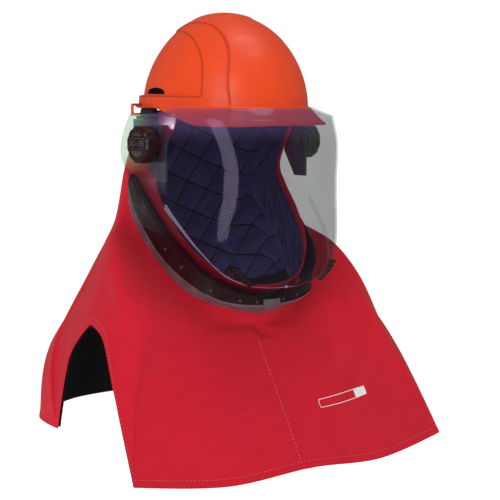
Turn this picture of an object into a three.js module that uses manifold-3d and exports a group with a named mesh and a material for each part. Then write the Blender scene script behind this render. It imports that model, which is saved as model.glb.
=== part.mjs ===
import * as THREE from 'three';
import { mergeVertices } from 'three/addons/utils/BufferGeometryUtils.js';
import Module from 'manifold-3d';

// Arc flash hood with a hard hat, a clear window, a chin guard and a cloth hood that rests on the
// shoulders. Millimetres, z up. The hood faces -y, and the origin is the middle of the hat's rim

// Driving dimensions
const HAT = {
  halfWidth: 107, halfLength: 129, crown: 131, wall: 2.6, rim: 6, back: 3,
  beltTop: 22, beltStep: 4, peakReach: 142, peakHalfWidth: 110, peakDrop: 18, peakCorner: 3.3,
  ridgeHeight: 2, ridgeTop: 46, ridgeFoot: 67, ridgeSlope: 4, brim: 2,
};
const VENT = { length: 44, height: 10, back: 30 };
const LOOP = { back: 60, inner: 98, outer: 118, top: 9, bottom: -7, thickness: 4, bar: 3 };
const WINDOW = {
  halfWidth: 127, reach: 167, drop: 236, wall: 2.5, flangeRise: 4, flangeGap: 6.8, flangeSideShare: 0.1,
};
const PIVOT = { forward: 4, drop: 45, radius: 5, length: 16 };
const KNOB = {
  radius: 25.5, depth: 23, scallops: 12, scallopDepth: 1.1, bevel: 2, ribWidth: 3, ribHeight: 1.2,
  ribSpread: 14, ribReach: 0.72, hubRadius: 5.5, hubHeight: 1.6, root: 1,
};
const BRACKET = {
  thickness: 3, front: 30, back: 16, top: 12, arm: 12, armBack: 45, bottom: 95, foot: 6,
  step: 14, stepDrop: 6,
};
const SLOT = { width: 8, height: 24, fromFront: 7, fromArm: 10 };
const ADAPTER = { front: -11, back: -40, teeth: 5, toothHeight: 6, height: 4, plugDepth: 9 };
const GUARD = {
  wall: 3.5, overlap: 0.12, startRow: 3.15, studs: 12, studRadius: 2.4, studHeight: 1.2,
  studRow: 1, studEnd: 0.06,
};
const LATCH = { halfWidth: 13, height: 3, from: 0.16, to: 0.5 };
const GRIP = { from: 0.71, to: 0.83, inner: 0.55, outer: 0.72, height: 5, ribs: 5, ribDepth: 1.6 };
const HOOD = { halfWidth: 267, reach: 188, drop: 474, cloth: 2, quilt: 2.6, capeCloth: 1.6 };
const GAP = { touch: 0.3, slide: 0.6, fold: 1.7, stud: 0.5, lining: 0.8 };

// Sections down one side of the window, from its top corner to the middle of the chin. Shares of the
// window's half width, reach and drop, as across, forward and up: bend is where the side turns into the
// front, edge is the outer edge of the clear side, lip and foot are the chin guard's fold and lower edge,
// front is the middle of the front panel, and square says how boxy the panel's curve is there
const SIDE_ROWS = [
  { bend: [1, 0.335, -0.017], edge: [1.016, -0.281, -0.025], lip: [1.016, -0.281, -0.025],
    foot: [1.016, -0.281, -0.025], front: [0.898, -0.055], square: 2 },
  { bend: [1, 0.24, -0.14], edge: [1.016, -0.377, -0.136], lip: [1.016, -0.377, -0.136],
    foot: [1.016, -0.377, -0.136], front: [0.964, -0.161], square: 2.3 },
  { bend: [1, 0.144, -0.25], edge: [1.016, -0.413, -0.246], lip: [1.016, -0.413, -0.246],
    foot: [1.016, -0.413, -0.246], front: [0.994, -0.267], square: 2.4 },
  { bend: [1, 0.09, -0.369], edge: [1.014, -0.335, -0.352], lip: [1.01, -0.365, -0.394],
    foot: [1, -0.377, -0.407], front: [1, -0.373], square: 2.4 },
  { bend: [1, 0.12, -0.504], edge: [1.008, -0.186, -0.466], lip: [1.022, -0.275, -0.545],
    foot: [1.016, -0.325, -0.563], front: [0.988, -0.504], square: 2.4 },
  { bend: [0.99, 0.216, -0.576], edge: [1, -0.024, -0.576], lip: [1.018, -0.138, -0.672],
    foot: [1.008, -0.216, -0.693], front: [0.97, -0.576], square: 2.4 },
  { bend: [0.968, 0.317, -0.64], edge: [0.98, 0.162, -0.703], lip: [1, 0.036, -0.8],
    foot: [0.984, -0.044, -0.822], front: [0.95, -0.64], square: 2.4 },
  { bend: [0.918, 0.461, -0.737], edge: [0.929, 0.329, -0.805], lip: [0.95, 0.216, -0.907],
    foot: [0.921, 0.126, -0.945], front: [0.922, -0.737], square: 2.4 },
  { bend: [0.845, 0.569, -0.818], edge: [0.843, 0.443, -0.894], lip: [0.843, 0.389, -0.998],
    foot: [0.811, 0.293, -1.045], front: [0.892, -0.818], square: 2.4 },
  { bend: [0.724, 0.659, -0.902], edge: [0.677, 0.545, -0.97], lip: [0.685, 0.53, -1.072],
    foot: [0.638, 0.419, -1.11], front: [0.862, -0.902], square: 2.4 },
  { bend: [0.504, 0.737, -0.968], edge: [0.457, 0.599, -1.03], lip: [0.457, 0.6, -1.11],
    foot: [0.425, 0.479, -1.148], front: [0.836, -0.97], square: 2.4 },
  { bend: [0.252, 0.784, -0.994], edge: [0.236, 0.623, -1.059], lip: [0.236, 0.629, -1.123],
    foot: [0.213, 0.515, -1.174], front: [0.82, -0.995], square: 2.4 },
  { bend: [0, 0.808, -1], edge: [0, 0.635, -1.068], lip: [0, 0.641, -1.127],
    foot: [0, 0.539, -1.182], front: [0.808, -1], square: 2.4 },
];

// Sections of the cloth hood from the middle of the chest round to the middle of the back. Edge and
// collar follow the window, as shares of its half width, reach and drop. Shoulder, drape and hem are
// shares of the hood's half width, reach and drop, all as across, forward and up. A corner row turns
// the hem sharply
const HOOD_ROWS = [
  { edge: [0, 0.617, -1], collar: [0, 0.455, -1.2], shoulder: [0, 0.436, -0.643],
    drape: [0, 0.713, -0.816], hem: [0, 1, -1] },
  { edge: [0.425, 0.557, -0.966], collar: [0.386, 0.407, -1.17], shoulder: [0.36, 0.44, -0.64],
    drape: [0.44, 0.7, -0.816], hem: [0.5, 0.968, -1.014] },
  { edge: [0.677, 0.437, -0.864], collar: [0.748, 0.275, -1.055], shoulder: [0.64, 0.4, -0.575],
    drape: [0.86, 0.6, -0.78], hem: [1, 0.851, -0.983], corner: true },
  { edge: [0.827, 0.299, -0.746], collar: [0.85, 0.114, -0.958], shoulder: [0.735, 0.27, -0.505],
    drape: [0.865, 0.38, -0.65], hem: [0.945, 0.5, -0.755] },
  { edge: [0.898, 0.12, -0.593], collar: [0.913, -0.048, -0.839], shoulder: [0.72, 0.1, -0.425],
    drape: [0.81, 0.17, -0.54], hem: [0.885, 0.24, -0.625] },
  { edge: [0.898, -0.036, -0.445], collar: [0.942, -0.22, -0.706], shoulder: [0.685, -0.06, -0.385],
    drape: [0.77, -0.04, -0.49], hem: [0.845, -0.01, -0.595] },
  { edge: [0.866, -0.072, -0.318], collar: [0.942, -0.352, -0.579], shoulder: [0.61, -0.26, -0.36],
    drape: [0.77, -0.235, -0.54], hem: [0.88, -0.22, -0.7] },
  { edge: [0.803, 0.144, -0.034], collar: [0.913, -0.42, -0.42], shoulder: [0.53, -0.47, -0.4],
    drape: [0.8, -0.55, -0.69], hem: [0.87, -0.4, -0.915], corner: true },
  { edge: [0.764, -0.287, -0.008], collar: [0.85, -0.527, -0.318], shoulder: [0.4, -0.7, -0.42],
    drape: [0.71, -0.85, -0.69], hem: [0.81, -0.79, -0.905] },
  { edge: [0.472, -0.587, -0.008], collar: [0.567, -0.731, -0.318], shoulder: [0.27, -0.86, -0.45],
    drape: [0.42, -1.05, -0.675], hem: [0.46, -1.14, -0.9] },
  { edge: [0, -0.719, -0.008], collar: [0, -0.826, -0.318], shoulder: [0, -0.92, -0.45],
    drape: [0, -1.1, -0.675], hem: [0, -1.22, -0.898] },
];

// Rows of the hat from the crown to the peak: up is a share of the crown's height, belt and peak say how
// far the wall has stepped out to the belt and flared to the peak
const HAT_ROWS = [
  [1, 0, 0], [0.985, 0, 0], [0.94, 0, 0], [0.87, 0, 0], [0.77, 0, 0], [0.65, 0, 0], [0.51, 0, 0],
  [0.36, 0, 0], [0.22, 0, 0], [0.165, 0, 0], [0.15, 1, 0], [0.045, 1, 0], [0.045, 1, 0.5], [0, 1, 1],
].map(([up, belt, peak]) => ({ up, belt, peak }));

const COLOURS = {
  orange: 0xf2541b, smoke: 0x6f7a72, maroon: 0x35181c, black: 0x17171a, grey: 0x4a4650, latch: 0x54474b,
  red: 0xc41e2c, navy: 0x232338, lining: 0x1b1c1f, steel: 0x9a9ca0,
};

const wasm = await Module();
wasm.setup();

const { lerp, clamp, smoothstep } = THREE.MathUtils;
const at = (across, forward, up) => new THREE.Vector3(across, -forward, up);
const scaled = (shares, sizes) => at(...shares.map((share, axis) => share * sizes[axis]));
const windowSizes = [WINDOW.halfWidth, WINDOW.reach, WINDOW.drop];
const hoodSizes = [HOOD.halfWidth, HOOD.reach, HOOD.drop];
const power = (value, exponent) => Math.sign(value) * Math.abs(value) ** exponent;

// Smooth curve through a list of points, from the first at 0 to the last at 1. A loop ends where it
// starts, and the curve stops at a corner before it turns
function through(points, share, { corners = [], loop = false } = {}) {
  const last = points.length - 1;
  const place = clamp(share, 0, 1) * last;
  const index = Math.min(Math.floor(place), last - 1);
  const wrapped = (step) => (loop ? (index + step + last) % last : clamp(index + step, 0, last));
  const point = (step) => points[wrapped(step)];
  const slope = (step) => {
    const along = point(step + 1).clone().sub(point(step - 1));
    return along.multiplyScalar(corners[index + step] ? 0 : 0.5);
  };
  const t = place - index;
  return point(0).clone().multiplyScalar(2 * t ** 3 - 3 * t ** 2 + 1)
    .addScaledVector(point(1), 3 * t ** 2 - 2 * t ** 3)
    .addScaledVector(slope(0), t ** 3 - 2 * t ** 2 + t)
    .addScaledVector(slope(1), t ** 3 - t ** 2);
}

// Rows of one half and their mirror image, as one list from side to side
function mirrored(points) {
  const other = points.map((point) => point.clone().setX(-point.x)).reverse();
  return [...points, ...other.slice(1)];
}

// Points of a surface in rows and columns, with the direction that faces out at each
function surface(columns, rows, closed, pointAt) {
  const points = Array.from({ length: rows + 1 }, (_, row) =>
    Array.from({ length: columns + (closed ? 0 : 1) }, (_, column) => pointAt(column / columns, row / rows)));
  const sums = new Map();
  const key = (point) => point.toArray().map((value) => Math.round(value * 100)).join(' ');
  for (const [a, b, c] of faces(points, closed)) {
    const normal = b.clone().sub(a).cross(c.clone().sub(a));
    for (const corner of [a, b, c]) {
      sums.set(key(corner), (sums.get(key(corner)) ?? new THREE.Vector3()).add(normal));
    }
  }
  const normals = points.map((row) =>
    row.map((point) => (sums.get(key(point)) ?? at(0, 0, 1)).clone().normalize()));
  return { points, normals, closed };
}

// The triangles between rows and columns of points
function faces(points, closed) {
  const triangles = [];
  const columns = points[0].length;
  for (let row = 0; row + 1 < points.length; row += 1) {
    for (let column = 0; column < columns - (closed ? 0 : 1); column += 1) {
      const next = (column + 1) % columns;
      const [a, b] = [points[row][column], points[row][next]];
      const [c, d] = [points[row + 1][column], points[row + 1][next]];
      triangles.push([a, c, b], [b, c, d]);
    }
  }
  return triangles;
}

// A wall that follows a surface: outer and inner are its depths below it. The rims close it all round,
// apart from rows that meet themselves
function sheet({ points, normals, closed }, outer, inner, options = {}) {
  const { rows = [0, points.length - 1], rims = [true, true] } = options;
  const layer = (depth) => points.slice(rows[0], rows[1] + 1).map((row, index) =>
    row.map((point, column) => {
      const normal = normals[rows[0] + index][column];
      const distance = typeof depth === 'function' ? depth(column / (row.length - 1), index) : depth;
      return point.clone().addScaledVector(normal, -distance);
    }));
  const [top, bottom] = [layer(outer), layer(inner)];
  const last = top.length - 1;
  const triangles = [...faces(top, closed), ...faces(bottom, closed).map(([a, b, c]) => [a, c, b])];
  if (rims[0]) triangles.push(...faces([bottom[0], top[0]], closed));
  if (rims[1]) triangles.push(...faces([top[last], bottom[last]], closed));
  if (!closed) {
    const column = (grid, index) => grid.map((row) => row.at(index));
    triangles.push(...faces([column(bottom, 0), column(top, 0)], false).map(([a, b, c]) => [a, c, b]));
    triangles.push(...faces([column(top, -1), column(bottom, -1)], false).map(([a, b, c]) => [a, c, b]));
  }
  return fromTriangles(triangles);
}

// A closed geometry from triangles of points, with shared corners and no flat slivers
function fromTriangles(triangles) {
  const geometry = new THREE.BufferGeometry();
  const positions = triangles.flat().flatMap((point) => point.toArray());
  geometry.setAttribute('position', new THREE.Float32BufferAttribute(positions, 3));
  return welded(geometry);
}

function welded(geometry) {
  geometry.deleteAttribute('normal');
  geometry.deleteAttribute('uv');
  const merged = mergeVertices(geometry, 1e-3);
  const index = merged.index.array;
  const kept = [];
  for (let corner = 0; corner < index.length; corner += 3) {
    const [a, b, c] = index.slice(corner, corner + 3);
    if (a !== b && b !== c && c !== a) kept.push(a, b, c);
  }
  merged.setIndex(kept);
  return merged;
}

function toSolid(geometry) {
  const mesh = welded(geometry.clone());
  const vertProperties = new Float32Array(mesh.attributes.position.array);
  const triVerts = new Uint32Array(mesh.index.array);
  return new wasm.Manifold(new wasm.Mesh({ numProp: 3, vertProperties, triVerts }));
}

function toGeometry(solid) {
  const { vertProperties, triVerts } = solid.getMesh();
  const geometry = new THREE.BufferGeometry();
  geometry.setAttribute('position', new THREE.BufferAttribute(vertProperties, 3));
  geometry.setIndex(new THREE.BufferAttribute(triVerts, 1));
  return geometry;
}

function joined(body, ...others) {
  return toGeometry(others.reduce((whole, other) => whole.add(toSolid(other)), toSolid(body)));
}

function cut(body, ...others) {
  return toGeometry(others.reduce((whole, other) => whole.subtract(toSolid(other)), toSolid(body)));
}

// A box between two corners, given as across, forward and up
function block(from, to) {
  const [a, b] = [at(...from), at(...to)];
  const size = b.clone().sub(a);
  const geometry = new THREE.BoxGeometry(Math.abs(size.x), Math.abs(size.y), Math.abs(size.z));
  return geometry.translate(...a.add(b).multiplyScalar(0.5).toArray());
}

// An outline in the forward and up directions, thickened across from inner to outer on one side
function sideways(shape, side, inner, outer, options = {}) {
  const straight = { depth: outer - inner, bevelEnabled: false, curveSegments: 8 };
  const geometry = new THREE.ExtrudeGeometry(shape, { ...straight, ...options });
  const across = new THREE.Matrix4().makeBasis(at(0, 1, 0), at(0, 0, 1), new THREE.Vector3(-1, 0, 0));
  geometry.applyMatrix4(across).translate(-inner, 0, 0);
  return side < 0 ? geometry : flipped(geometry);
}

// The mirror image on the other side
function flipped(geometry) {
  const image = geometry.clone().index ? geometry.clone().toNonIndexed() : geometry.clone();
  const position = image.attributes.position;
  for (let corner = 0; corner < position.count; corner += 3) {
    const points = [0, 2, 1].map((step) => new THREE.Vector3().fromBufferAttribute(position, corner + step));
    points.forEach((point, step) => position.setXYZ(corner + step, -point.x, point.y, point.z));
  }
  return image;
}

// Hard hat

// A point of the hat: turn runs round from the front, row down from the crown
function hatPoint(turn, row) {
  const angle = turn * 2 * Math.PI;
  const { up, belt, peak } = HAT_ROWS[row];
  const out = Math.sqrt(1 - up ** 2);
  const [across, forward] = [Math.sin(angle), Math.cos(angle)];
  const side = 1 - smoothstep(forward, 0.2, 0.75);
  const step = HAT.beltStep * belt * side;
  const wall = at(
    (HAT.halfWidth * out + step) * across, (HAT.halfLength * out + step) * forward, HAT.crown * up);
  const ridge = lerp(HAT.ridgeFoot, HAT.ridgeTop, smoothstep(up, 0.2, 0.9));
  const beyond = smoothstep(Math.abs(wall.x), ridge - HAT.ridgeSlope, ridge + HAT.ridgeSlope);
  const raised = HAT.ridgeHeight * (1 - belt) * (1 - beyond);
  wall.addScaledVector(at(across * out, forward * out, up).normalize(), raised);
  const flare = smoothstep(forward, -0.05, 0.35);
  const edge = at(
    lerp(wall.x + HAT.brim * across, HAT.peakHalfWidth * power(across, 2 / HAT.peakCorner), flare),
    lerp(-wall.y + HAT.brim * forward, HAT.peakReach * power(forward, 2 / HAT.peakCorner), flare),
    lerp(HAT.rim, -HAT.peakDrop, flare),
  );
  return wall.lerp(edge, peak).add(at(0, -HAT.back, 0));
}

function hatShell() {
  const rows = HAT_ROWS.length - 1;
  const dome = surface(40, rows, true, (turn, share) => hatPoint(turn, Math.round(share * rows)));
  const shell = sheet(dome, 0, HAT.wall);
  const moon = new THREE.Shape();
  moon.absellipse(-VENT.back, HAT.beltTop, VENT.length / 2, VENT.height, 0, Math.PI);
  const span = HAT.halfWidth + HAT.beltStep;
  const vents = [-1, 1].map((side) => sideways(moon, side, span / 2, span + HAT.beltStep));
  const loops = [-1, 1].map((side) => loopEar(side));
  const vented = cut(shell, ...vents);
  return joined(vented, ...loops);
}

// The ear beside the hat's rim that a strap or a lamp clips through
function loopEar(side) {
  const { inner, outer, top, bottom, thickness, bar, back } = LOOP;
  const ear = block([side * inner, thickness - back, bottom], [side * outer, -back, top]);
  const hole = block(
    [side * (inner + bar), 2 * thickness - back, bottom + bar],
    [side * (outer - bar), -2 * thickness - back, top - bar]);
  return cut(ear, hole);
}

// Window and chin guard

const SIDES = Object.fromEntries(['bend', 'edge', 'lip', 'foot'].map((name) =>
  [name, mirrored(SIDE_ROWS.map((row) => scaled(row[name], windowSizes)))]));
const MIDDLES = mirrored(SIDE_ROWS.map(({ front, square }) =>
  new THREE.Vector3(square, -front[0] * WINDOW.reach, front[1] * WINDOW.drop)));

// A point beside the window's front: down is 0 at the top and 1 at the chin, and out is 0 at the bend,
// 1 at the clear edge, 2 at the guard's fold and 3 at its lower edge
function sidePoint(side, down, out) {
  const bands = ['bend', 'edge', 'lip', 'foot'];
  const index = Math.min(Math.floor(out), 2);
  const [from, to] = [bands[index], bands[index + 1]].map((band) => through(SIDES[band], down / 2));
  const point = from.lerp(to, out - index);
  return point.setX(side * point.x);
}

// A point of the front panel: across runs from -1 to 1 between its bends
function frontPoint(across, down) {
  const bend = through(SIDES.bend, down / 2);
  const middle = through(MIDDLES, down / 2);
  const square = Math.max(Math.abs(middle.x), 2);
  const angle = across * Math.PI / 2;
  const bulge = Math.abs(Math.cos(angle)) ** (2 / square);
  const wide = bend.x * power(Math.sin(angle), 2 / square);
  return new THREE.Vector3(wide, lerp(bend.y, middle.y, bulge), lerp(bend.z, middle.z, bulge));
}

// The window's whole sheet: side to side in columns, and from the flange at the hat down to the chin
const FLANGE_SHARE = 0.1;
const BAND_SHARE = 0.1;

function windowPoint(across, fall) {
  const down = Math.max(fall - FLANGE_SHARE, 0) / (1 - FLANGE_SHARE);
  const side = across < 0.5 ? -1 : 1;
  const inward = Math.min(across, 1 - across) / BAND_SHARE;
  const point = inward < 1
    ? sidePoint(side, down, 1 - inward)
    : frontPoint((across - 0.5) / (0.5 - BAND_SHARE), down);
  if (fall >= FLANGE_SHARE) return point;
  const angle = Math.atan2(point.x / HAT.halfWidth, -point.y / HAT.halfLength);
  const room = WINDOW.flangeGap + HAT.beltStep * (1 - smoothstep(Math.cos(angle), 0.2, 0.75));
  const rim = at(
    (HAT.halfWidth + room) * Math.sin(angle), (HAT.halfLength + room) * Math.cos(angle) - HAT.back,
    WINDOW.flangeRise);
  const reach = lerp(WINDOW.flangeSideShare, 1, smoothstep(-point.y, 0, -SIDES.bend[0].y));
  return point.lerp(rim, reach * (1 - fall / FLANGE_SHARE));
}

function pivotPin(radius, side, inner, outer) {
  const pin = new THREE.CylinderGeometry(radius, radius, outer - inner, 16);
  pin.rotateZ(Math.PI / 2);
  const middle = at(side * (inner + outer) / 2, PIVOT.forward, -PIVOT.drop);
  return pin.translate(...middle.toArray());
}

function windowPanel() {
  const clear = sheet(surface(30, 20, false, windowPoint), 0, WINDOW.wall, { rims: [true, false] });
  const [inner, outer] = [WINDOW.halfWidth - PIVOT.length, WINDOW.halfWidth + PIVOT.length];
  const holes = [-1, 1].map((side) => pivotPin(PIVOT.radius + GAP.slide, side, inner, outer));
  return cut(clear, ...holes);
}

// The guard's surface: round from one ear to the other, and from its top edge down to its lower one
const GUARD_START = GUARD.startRow / (SIDE_ROWS.length - 1);

function guardPoint(round, fall) {
  const side = round < 0.5 ? -1 : 1;
  const down = lerp(1, GUARD_START, Math.abs(2 * round - 1));
  return sidePoint(side, down, lerp(1 - GUARD.overlap, 3, fall));
}

const GUARD_DEPTH = WINDOW.wall + GAP.fold;
const GUARD_FALLS = [0, 0.1, 0.55, 1];

function guardSurface() {
  const rows = GUARD_FALLS.length - 1;
  return surface(36, rows, false, (round, fall) => guardPoint(round, GUARD_FALLS[Math.round(fall * rows)]));
}

function chinGuard() {
  return sheet(guardSurface(), GUARD_DEPTH, GUARD_DEPTH + GUARD.wall);
}

// Rivets down the middle of the guard's upper band, each on the flat middle of a facet
function studs() {
  const { points, normals } = guardSurface();
  const columns = points[0].length - 1;
  const dome = [[0, 0], [1, 0], [0.75, 0.8], [0, 1]].map(([out, up]) =>
    new THREE.Vector2(out * GUARD.studRadius, up * GUARD.studHeight));
  return Array.from({ length: GUARD.studs }, (_, index) => {
    const share = lerp(GUARD.studEnd, 1 - GUARD.studEnd, (index + 0.5) / GUARD.studs);
    const column = Math.round(share * columns - 0.5);
    const corner = (down, along) => {
      const [row, place] = [GUARD.studRow + down, column + along];
      return points[row][place].clone().addScaledVector(normals[row][place], -GUARD_DEPTH);
    };
    const [a, b, c, d] = [corner(0, 0), corner(0, 1), corner(1, 0), corner(1, 1)];
    const along = b.clone().sub(c).normalize();
    const out = d.clone().sub(a).cross(along).normalize();
    const basis = new THREE.Matrix4().makeBasis(along, out.clone().cross(along), out);
    const geometry = new THREE.LatheGeometry(dome, 8).rotateX(Math.PI / 2);
    const stud = named(`guard_stud_${index + 1}`, geometry, 'steel', 0.4, 1);
    stud.position.copy(b.lerp(c, 0.5).addScaledVector(out, GAP.stud));
    stud.quaternion.setFromRotationMatrix(basis);
    return stud;
  });
}

function chinLatch() {
  const reach = LATCH.halfWidth / (2 * WINDOW.halfWidth);
  const patch = surface(6, 3, false, (round, fall) =>
    guardPoint(0.5 + (round - 0.5) * reach, lerp(LATCH.from, LATCH.to, fall)));
  return sheet(patch, GUARD_DEPTH - GAP.slide - LATCH.height, GUARD_DEPTH - GAP.slide);
}

// Ribbed finger grip on the window's lower bend
function grip(side) {
  const patch = surface(2 * GRIP.ribs * 2, 2, false, (round, fall) => {
    const down = lerp(GRIP.from, GRIP.to, side < 0 ? round : 1 - round);
    return frontPoint(side * lerp(GRIP.inner, GRIP.outer, fall), down);
  });
  const rib = (round) => -GRIP.height + GRIP.ribDepth * (1 + Math.cos(round * GRIP.ribs * 2 * Math.PI)) / 2;
  return sheet(patch, rib, -GAP.touch);
}

// Brackets, pivots and knobs

function bracket(side) {
  const { front, back, top, arm, armBack, bottom, foot, step, stepDrop } = BRACKET;
  const low = -top - arm;
  const outline = new THREE.Shape([
    [-armBack, -top], [front - step, -top], [front - step, low - stepDrop], [front, low - stepDrop],
    [front, -bottom], [foot, -bottom], [-back, -PIVOT.drop - back], [-back, low], [-armBack, low],
  ].map((point) => new THREE.Vector2(...point)));
  const slot = new THREE.Path();
  const [left, high] = [front - SLOT.fromFront - SLOT.width, low - SLOT.fromArm];
  slot.moveTo(left, high).lineTo(left, high - SLOT.height);
  slot.lineTo(left + SLOT.width, high - SLOT.height).lineTo(left + SLOT.width, high);
  outline.holes.push(slot);
  const outer = WINDOW.halfWidth - WINDOW.wall - GAP.slide;
  return sideways(outline, side, outer - BRACKET.thickness, outer);
}

// Toothed block that plugs the bracket's arm in under the hat's rim
function slotAdapter(side) {
  const { front, back, teeth, toothHeight, height, plugDepth } = ADAPTER;
  const pitch = (front - back) / teeth;
  const low = -BRACKET.top + GAP.touch;
  const root = HAT.rim - HAT.wall - GAP.slide - toothHeight;
  const outline = new THREE.Shape();
  outline.moveTo(back, low).lineTo(front, low).lineTo(front, root);
  for (let tooth = 0; tooth < teeth; tooth += 1) {
    const start = front - tooth * pitch;
    outline.lineTo(start - pitch / 2, root + toothHeight).lineTo(start - pitch, root);
  }
  const plug = sideways(outline, side, HAT.halfWidth - GAP.slide, HAT.halfWidth + plugDepth);
  const outer = WINDOW.halfWidth - WINDOW.wall - GAP.slide - BRACKET.thickness / 2;
  return joined(plug, block([side * HAT.halfWidth, back, low], [side * outer, front, low + height]));
}

function knob(side) {
  const inner = WINDOW.halfWidth * SIDE_ROWS[2].edge[0] + GAP.slide;
  const corners = KNOB.scallops * 3;
  const outline = new THREE.Shape(Array.from({ length: corners }, (_, index) => {
    const angle = index / corners * 2 * Math.PI;
    const radius = KNOB.radius - KNOB.bevel - KNOB.scallopDepth * (1 + Math.cos(KNOB.scallops * angle)) / 2;
    const [forward, up] = [radius * Math.cos(angle), radius * Math.sin(angle)];
    return new THREE.Vector2(PIVOT.forward + forward, up - PIVOT.drop);
  }));
  const head = sideways(outline, side, inner + KNOB.bevel, inner + KNOB.depth - KNOB.bevel,
    { bevelEnabled: true, bevelThickness: KNOB.bevel, bevelSize: KNOB.bevel, bevelSegments: 1 });
  const face = inner + KNOB.depth;
  const reach = KNOB.radius * KNOB.ribReach;
  const ribs = [-1, 1].map((level) => {
    const up = -PIVOT.drop + level * KNOB.ribSpread / 2;
    return block(
      [side * (face - KNOB.root), PIVOT.forward - reach, up],
      [side * (face + KNOB.ribHeight), PIVOT.forward + reach, up + KNOB.ribWidth]);
  });
  const hub = pivotPin(KNOB.hubRadius, side, face - KNOB.root, face + KNOB.hubHeight);
  const bore = pivotPin(PIVOT.radius + GAP.slide, side, inner - KNOB.root, inner + PIVOT.length);
  return cut(joined(head, ...ribs, hub), bore);
}

function pivotPost(side) {
  const inner = WINDOW.halfWidth - WINDOW.wall - GAP.slide + GAP.touch;
  return pivotPin(PIVOT.radius, side, inner, inner + PIVOT.length);
}

// Cloth hood

const HOOD_COLUMNS = 40;
const HOOD_LINES = 14;
const RINGS = ['edge', 'collar', 'shoulder', 'drape', 'hem'];
const RING_FALL = [0, 0.16, 0.42, 0.7, 1];
const HOOD_RINGS = RINGS.map((ring, index) =>
  mirrored(HOOD_ROWS.map((row) => scaled(row[ring], index < 2 ? windowSizes : hoodSizes))));
const HOOD_HALF_CORNERS = HOOD_ROWS.map(({ corner }) => Boolean(corner));
const HOOD_CORNERS = [...HOOD_HALF_CORNERS, ...HOOD_HALF_CORNERS.toReversed().slice(1)];

// A point of the cloth: turn runs round from the chest, fall down from the face opening to the hem
function hoodPoint(turn, fall) {
  const line = HOOD_RINGS.map((ring, index) =>
    through(ring, turn, { corners: index > 2 ? HOOD_CORNERS : [], loop: true }));
  const above = RING_FALL.findLastIndex((ringFall) => fall >= ringFall);
  const index = Math.min(above, RINGS.length - 2);
  const share = (fall - RING_FALL[index]) / (RING_FALL[index + 1] - RING_FALL[index]);
  return through(line, (index + share) / (RINGS.length - 1));
}

const CLOTH = surface(HOOD_COLUMNS, HOOD_LINES, true, hoodPoint);
const LINING_ROWS = [1, 7];
const CAPE_ROWS = [8, 13];

const LINING_DEPTH = HOOD.cloth + GAP.lining;

const hoodCloth = () => sheet(CLOTH, 0, HOOD.cloth);
const headLining = () => sheet(CLOTH, LINING_DEPTH, LINING_DEPTH + HOOD.quilt, { rows: LINING_ROWS });
const capeLining = () => sheet(CLOTH, LINING_DEPTH, LINING_DEPTH + HOOD.capeCloth, { rows: CAPE_ROWS });

function named(name, geometry, colour, roughness, metalness) {
  const material = new THREE.MeshStandardMaterial({ color: COLOURS[colour], roughness, metalness });
  const mesh = new THREE.Mesh(geometry, material);
  mesh.name = name;
  return mesh;
}

const hood = new THREE.Group();
hood.add(named('hat_shell', hatShell(), 'orange', 0.25, 0));
hood.add(named('window', windowPanel(), 'smoke', 0.1, 0));
hood.add(named('chin_guard', chinGuard(), 'maroon', 0.35, 0));
hood.add(named('chin_latch', chinLatch(), 'latch', 0.5, 0));
hood.add(...studs());
hood.add(named('hood_cloth', hoodCloth(), 'red', 0.9, 0));
hood.add(named('head_lining', headLining(), 'navy', 0.9, 0));
hood.add(named('cape_lining', capeLining(), 'lining', 0.95, 0));
for (const [word, side] of [['right', -1], ['left', 1]]) {
  hood.add(named(`grip_${word}`, grip(side), 'maroon', 0.4, 0));
  hood.add(named(`bracket_${word}`, bracket(side), 'grey', 0.5, 0));
  hood.add(named(`slot_adapter_${word}`, slotAdapter(side), 'black', 0.5, 0));
  hood.add(named(`pivot_${word}`, pivotPost(side), 'steel', 0.3, 1));
  hood.add(named(`knob_${word}`, knob(side), 'maroon', 0.3, 0));
}

export default hood;
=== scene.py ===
# %% [markdown]
# # An arc flash hood, piece by piece
# This hood is a hard hat with a wraparound window hung from it, a chin guard under the window and a
# padded cloth hood that drapes over the shoulders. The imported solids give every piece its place. Here
# the plain solids get their real surfaces. Sizes are in millimetres and become metres in the mesh.

# %% Load the frame
import math
import bpy
import bmesh
import numpy as np
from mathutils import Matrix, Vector
from mathutils.bvhtree import BVHTree
from mathutils.kdtree import KDTree


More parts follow.
